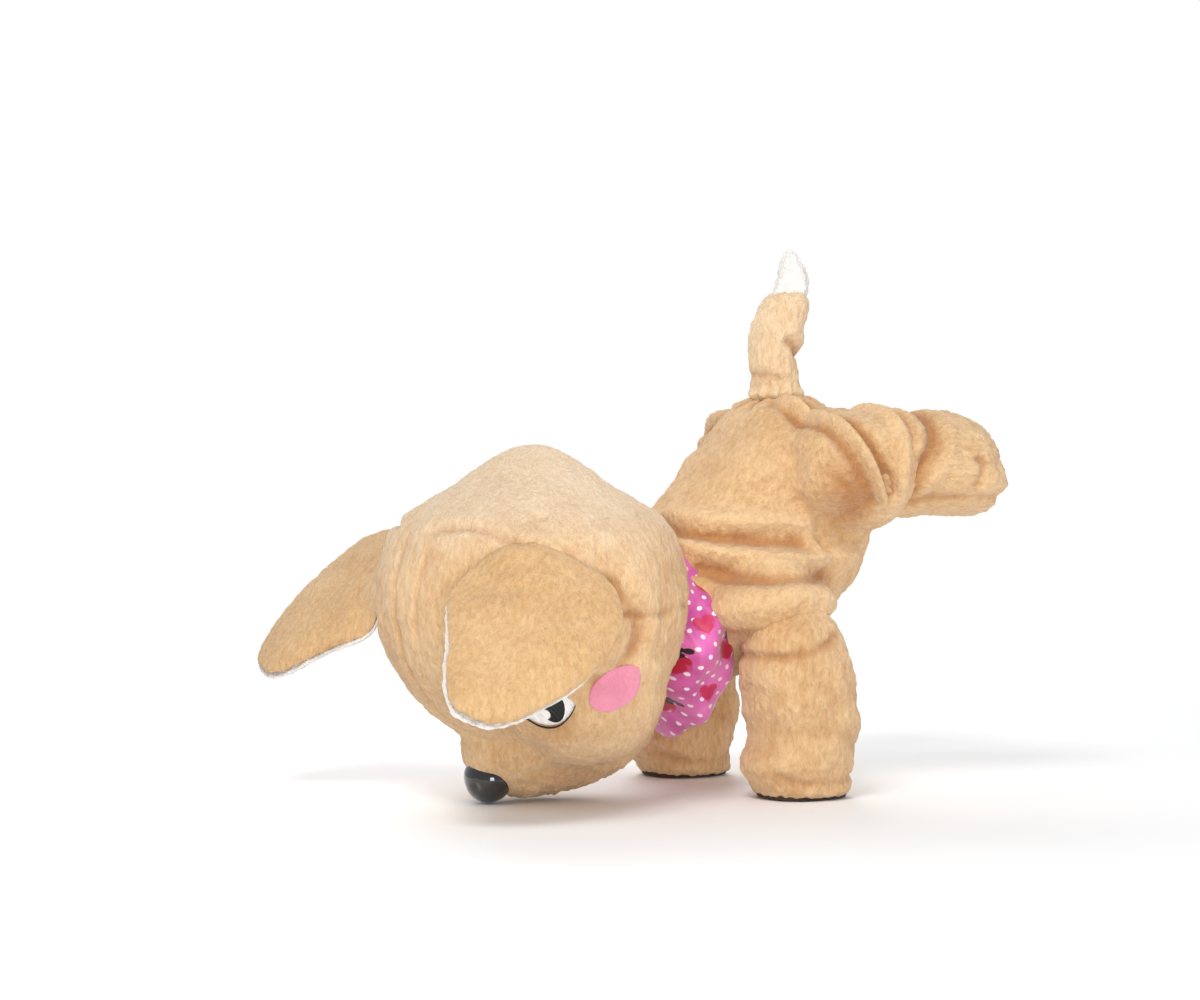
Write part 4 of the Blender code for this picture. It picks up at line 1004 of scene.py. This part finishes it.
for side, sign in (("left", -1), ("right", 1)):
    form = bmesh.new()
    y = sign * abs(PAW.y)
    rings = []
    for z, shift, half in FRONT_LEG:
        rings.append(ring((PAW.x + shift, y, z), (1, 0, 0), (0, 1, 0), half, half * 0.98, 2.2))
    loft(form, rings)
    ball(form, (PAW.x - 0.005, y, 0.0160), (0.0262, 0.0250, 0.0150))
    pile = plush(f"front_leg_plush_{side}", lay=(1.0, 1.0, 0.35))
    leg = fuse(f"front_leg_{side}_plush", form, pile, 8)
    points, facing = surface(leg)
    waver = np.stack([lumps(points, 0.025, 1.0), lumps(points, 0.025, 9.0)], axis=1)
    flat = points[:, (0, 2)] + 0.0010 * waver
    depth = 0.0008 * lumps(points, 0.020, 2.0 + sign) + 0.0005 * lumps(points, 0.009, 6.0)
    for line, rise, width in LEG_FOLDS:
        depth += rise * swell(away(flat, line), width)
    depth *= ease(points[:, 2], 0.002, 0.010)
    shape_folds(leg, depth)
    moved, facing = surface(leg)
    inner = 0.0310
    moved[:, 1] = sign * np.maximum(sign * moved[:, 1], inner)
    moved[:, 2] = np.maximum(moved[:, 2], 0.0008)
    reshape(leg, moved)
    comb(leg, (0.0, 0.0, -0.6))
    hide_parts(f"front_leg_skin_{side}")
    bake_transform(leg)

# ---------------------------------------------------------------- hind legs
# The same sleeve on the hind leg frames. The leg kicks, so the sleeve is loose at the hip, where
# it lies in slanting folds, and full at the foot.

# along X from the hip, height above the hip, half height, half width, middle's Y
HIND_LEG = (
    (-0.006, 0.000, 0.0150, 0.0150, 0.0420),
    (0.004, 0.000, 0.0215, 0.0215, 0.0420),
    (0.014, 0.0000, 0.0238, 0.0240, 0.0425),
    (0.026, 0.0005, 0.0250, 0.0265, 0.0430),
    (0.040, 0.0005, 0.0262, 0.0280, 0.0440),
    (0.054, 0.0000, 0.0262, 0.0285, 0.0440),
    (0.064, -0.0015, 0.0245, 0.0270, 0.0440),
    (0.072, -0.0045, 0.0215, 0.0235, 0.0440),
    (0.078, -0.0075, 0.0155, 0.0175, 0.0440),
    (0.0812, -0.0090, 0.0080, 0.0095, 0.0440),
)
HIND_FOLDS = (
    (millimetres((106, 182), (106, 168), (104, 150), (101, 134)), -0.0022, 0.0030),
    (millimetres((121, 185), (117, 170), (109, 156), (104, 148)), -0.0040, 0.0030),
    (millimetres((112, 184), (111, 170), (106, 160)), 0.0018, 0.0034),
    (millimetres((122, 168), (115, 154), (107, 142)), -0.0026, 0.0030),
    (millimetres((129, 176), (122, 160), (114, 148)), 0.0018, 0.0036),
    (millimetres((142, 161), (146, 156), (141, 148)), -0.0022, 0.0026),
    (millimetres((104, 136), (116, 141), (140, 142), (164, 143)), -0.0018, 0.0020),
    (millimetres((150, 148), (160, 149)), 0.0030, 0.0060),
    (millimetres((106, 132), (112, 130), (118, 133)), 0.0020, 0.0040),
)
for side, sign in (("left", -1), ("right", 1)):
    form = bmesh.new()
    rings = []
    for x, rise, tall, wide, y in HIND_LEG:
        rings.append(ring((HIP.x + x, sign * y, HIP.z + rise), (0, 1, 0), (0, 0, 1), wide, tall, 2.25))
    loft(form, rings)
    pile = plush(f"hind_leg_plush_{side}", lay=(0.35, 1.0, 1.0))
    leg = fuse(f"hind_leg_{side}_plush", form, pile, 8)
    points, facing = surface(leg)
    waver = np.stack([lumps(points, 0.025, 1.0), lumps(points, 0.025, 9.0)], axis=1)
    flat = points[:, (0, 2)] + 0.0010 * waver
    depth = 0.0008 * lumps(points, 0.020, 12.0 + sign) + 0.0006 * lumps(points, 0.009, 16.0)
    for line, rise, width in HIND_FOLDS:
        depth += rise * swell(away(flat, line), width)
    shape_folds(leg, depth)
    comb(leg, (0.6, 0.0, 0.0))
    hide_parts(f"hind_leg_skin_{side}")
    y = sign * 0.044
    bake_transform(leg)

# ---------------------------------------------------------------- tail
# A plush tube drawn over the tail core and gathered into the rump, bent near its middle, with a
# white long-pile tip sewn on.

# X, Z, radius
TAIL = (
    (0.0712, 0.1870, 0.0085),
    (0.0710, 0.1925, 0.0118),
    (0.0704, 0.1985, 0.0122),
    (0.0694, 0.2080, 0.0126),
    (0.0698, 0.2170, 0.0132),
    (0.0718, 0.2260, 0.0131),
    (0.0750, 0.2340, 0.0126),
    (0.0776, 0.2400, 0.0112),
    (0.0786, 0.2425, 0.0075),
)
TAIL_TIP = (
    (0.0770, 0.2370, 0.0060),
    (0.0778, 0.2400, 0.0092),
    (0.0800, 0.2455, 0.0092),
    (0.0806, 0.2510, 0.0076),
    (0.0802, 0.2570, 0.0056),
    (0.0796, 0.2615, 0.0038),
    (0.0794, 0.2636, 0.0018),
)
TAIL_AT = joint_at["tail_wag"]


def tube(name, stations, material):
    """A round closed sleeve through X, Z, radius stations."""
    form = bmesh.new()
    loft(form, [ring((x, 0.0, z), (1, 0, 0), (0, 1, 0), radius, radius) for x, z, radius in stations])
    return fuse(name, form, material, 5, 0.0017)


tail_pile = plush("tail_pile", srgb(250, 224, 188), srgb(218, 176, 128))
tail = tube("tail_plush", TAIL, tail_pile)
points, facing = surface(tail)
flat = points[:, (0, 2)]
depth = 0.0010 * lumps(points, 0.014, 4.0) + 0.0005 * lumps(points, 0.006, 5.0)
depth -= 0.0022 * swell(away(flat, millimetres((70, 218), (77, 213), (84, 208))), 0.0026)
depth += 0.0014 * swell(away(flat, millimetres((66, 224), (75, 221), (84, 217))), 0.0034)
depth -= 0.0012 * swell(away(flat, millimetres((58, 201), (70, 199))), 0.0022)
around = np.arctan2(points[:, 1], points[:, 0] - TAIL_AT.x)
depth += 0.0010 * np.sin(11 * around) * swell(points[:, 2] - 0.1935, 0.0035)
depth += 0.0020 * swell(points[:, 2] - 0.1925, 0.0026)
shape_folds(tail, depth)
comb(tail, (0.0, 0.0, 0.6), 0.0006)
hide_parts("tail_skin")
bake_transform(tail)

tip_pile = plush("tip_fleece", srgb(252, 249, 246), srgb(228, 220, 214), (1.0, 1.0, 0.3))
tip = tube("tail_tip_fleece", TAIL_TIP, tip_pile)
points, facing = surface(tip)
drawn = points - np.array([0, 0, 0.6]) * points[:, 2:3]
depth = 0.0014 * lumps(drawn, 0.006, 1.0) + 0.0008 * lumps(points, 0.003, 8.0)
reshape(tip, points + facing * depth[:, None])
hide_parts("tail_tip")
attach(tip, "tail")

# ---------------------------------------------------------------- works inside
# The moulded casing with its frames and gears, the steel axles and screws, the cells, the motor
# cans, the board and the dark rubber soles. Each keeps the shape of its CAD node.


def moulded(name, pale, deep, rough=0.45):
    """Injection-moulded plastic: a fine spark-eroded grain with faint flow marks and scuffs."""
    plastic = Look(name, Roughness=rough)
    grain = plastic.grain(1600.0, 2.0, 0.6)
    flow = plastic.grain(40.0, 3.0, 0.5, plastic.stretched((1.0, 0.4, 1.0)))
    scuff = plastic.grain(300.0, 5.0, 0.7)
    tone = plastic.mix(plastic.spread(flow * 0.7 + scuff * 0.3, 0.3, 0.7), deep, pale)
    return plastic.finish(tone, rough - 0.06 + 0.14 * scuff, grain, 0.00008)


def turned_metal(name, pale, deep, rough=0.3):
    """Drawn and turned metal with fine lines round it."""
    metal = Look(name, Metallic=1.0, Roughness=rough)
    lines = metal.grain(1500.0, 2.0, 0.6, metal.stretched((1.0, 0.08, 1.0)))
    smear = metal.grain(120.0, 3.0)
    tone = metal.mix(metal.spread(smear, 0.3, 0.7), deep, pale)
    return metal.finish(tone, rough - 0.08 + 0.20 * lines, lines, 0.00004)


GEAR_MOULDED = moulded("gear_orange", srgb(240, 160, 60), srgb(218, 136, 44), 0.38)
STEEL_TURNED = turned_metal("bright_steel", srgb(214, 216, 220), srgb(176, 179, 184))
CAN_TURNED = turned_metal("motor_can", srgb(196, 198, 202), srgb(150, 153, 158), 0.36)
FRAME_MOULDED = moulded("frame_grey", srgb(150, 152, 156), srgb(128, 130, 134), 0.5)
FINISHES = (
    (
        moulded("casing_grey", srgb(214, 216, 218), srgb(196, 198, 201)),
        ("casing_left", "casing_right", "neck_post", "battery_tray"),
    ),
    (
        moulded("cover_grey", srgb(206, 206, 208), srgb(186, 187, 190)),
        ("battery_cover", "switch_housing", "nose_washer"),
    ),
    (FRAME_MOULDED, ("front_leg_frame_left", "front_leg_frame_right")),
    (FRAME_MOULDED, ("hind_leg_frame_left", "hind_leg_frame_right", "tail_core")),
    (GEAR_MOULDED, ("front_sector", "rear_sector", "front_pinion", "rear_pinion")),
    (moulded("knob_black", srgb(40, 40, 43), srgb(24, 24, 26), 0.4), ("power_switch", "loudspeaker")),
    (
        moulded("sole_rubber", srgb(74, 50, 38), srgb(48, 32, 25), 0.7),
        ("paw_sole_left", "paw_sole_right"),
    ),
    (moulded("board_green", srgb(30, 120, 66), srgb(20, 92, 50), 0.35), ("circuit_board",)),
    (
        moulded("cell_sleeve", srgb(70, 74, 82), srgb(44, 47, 54), 0.25),
        ("battery_1", "battery_2", "battery_3"),
    ),
    (STEEL_TURNED, ("shoulder_axle", "hip_axle", "front_motor_shaft", "rear_motor_shaft")),
    (STEEL_TURNED, ("casing_screw_1", "casing_screw_2", "casing_screw_3", "cover_screw")),
    (STEEL_TURNED, ("touch_sensor",)),
    (CAN_TURNED, ("front_motor", "rear_motor", "contact_plate_front", "contact_plate_rear")),
)
for material, names in FINISHES:
    for name in names:
        node = nodes[name]
        if not node.material_slots:
            node.data.materials.append(material)
        for slot in node.material_slots:
            slot.material = material
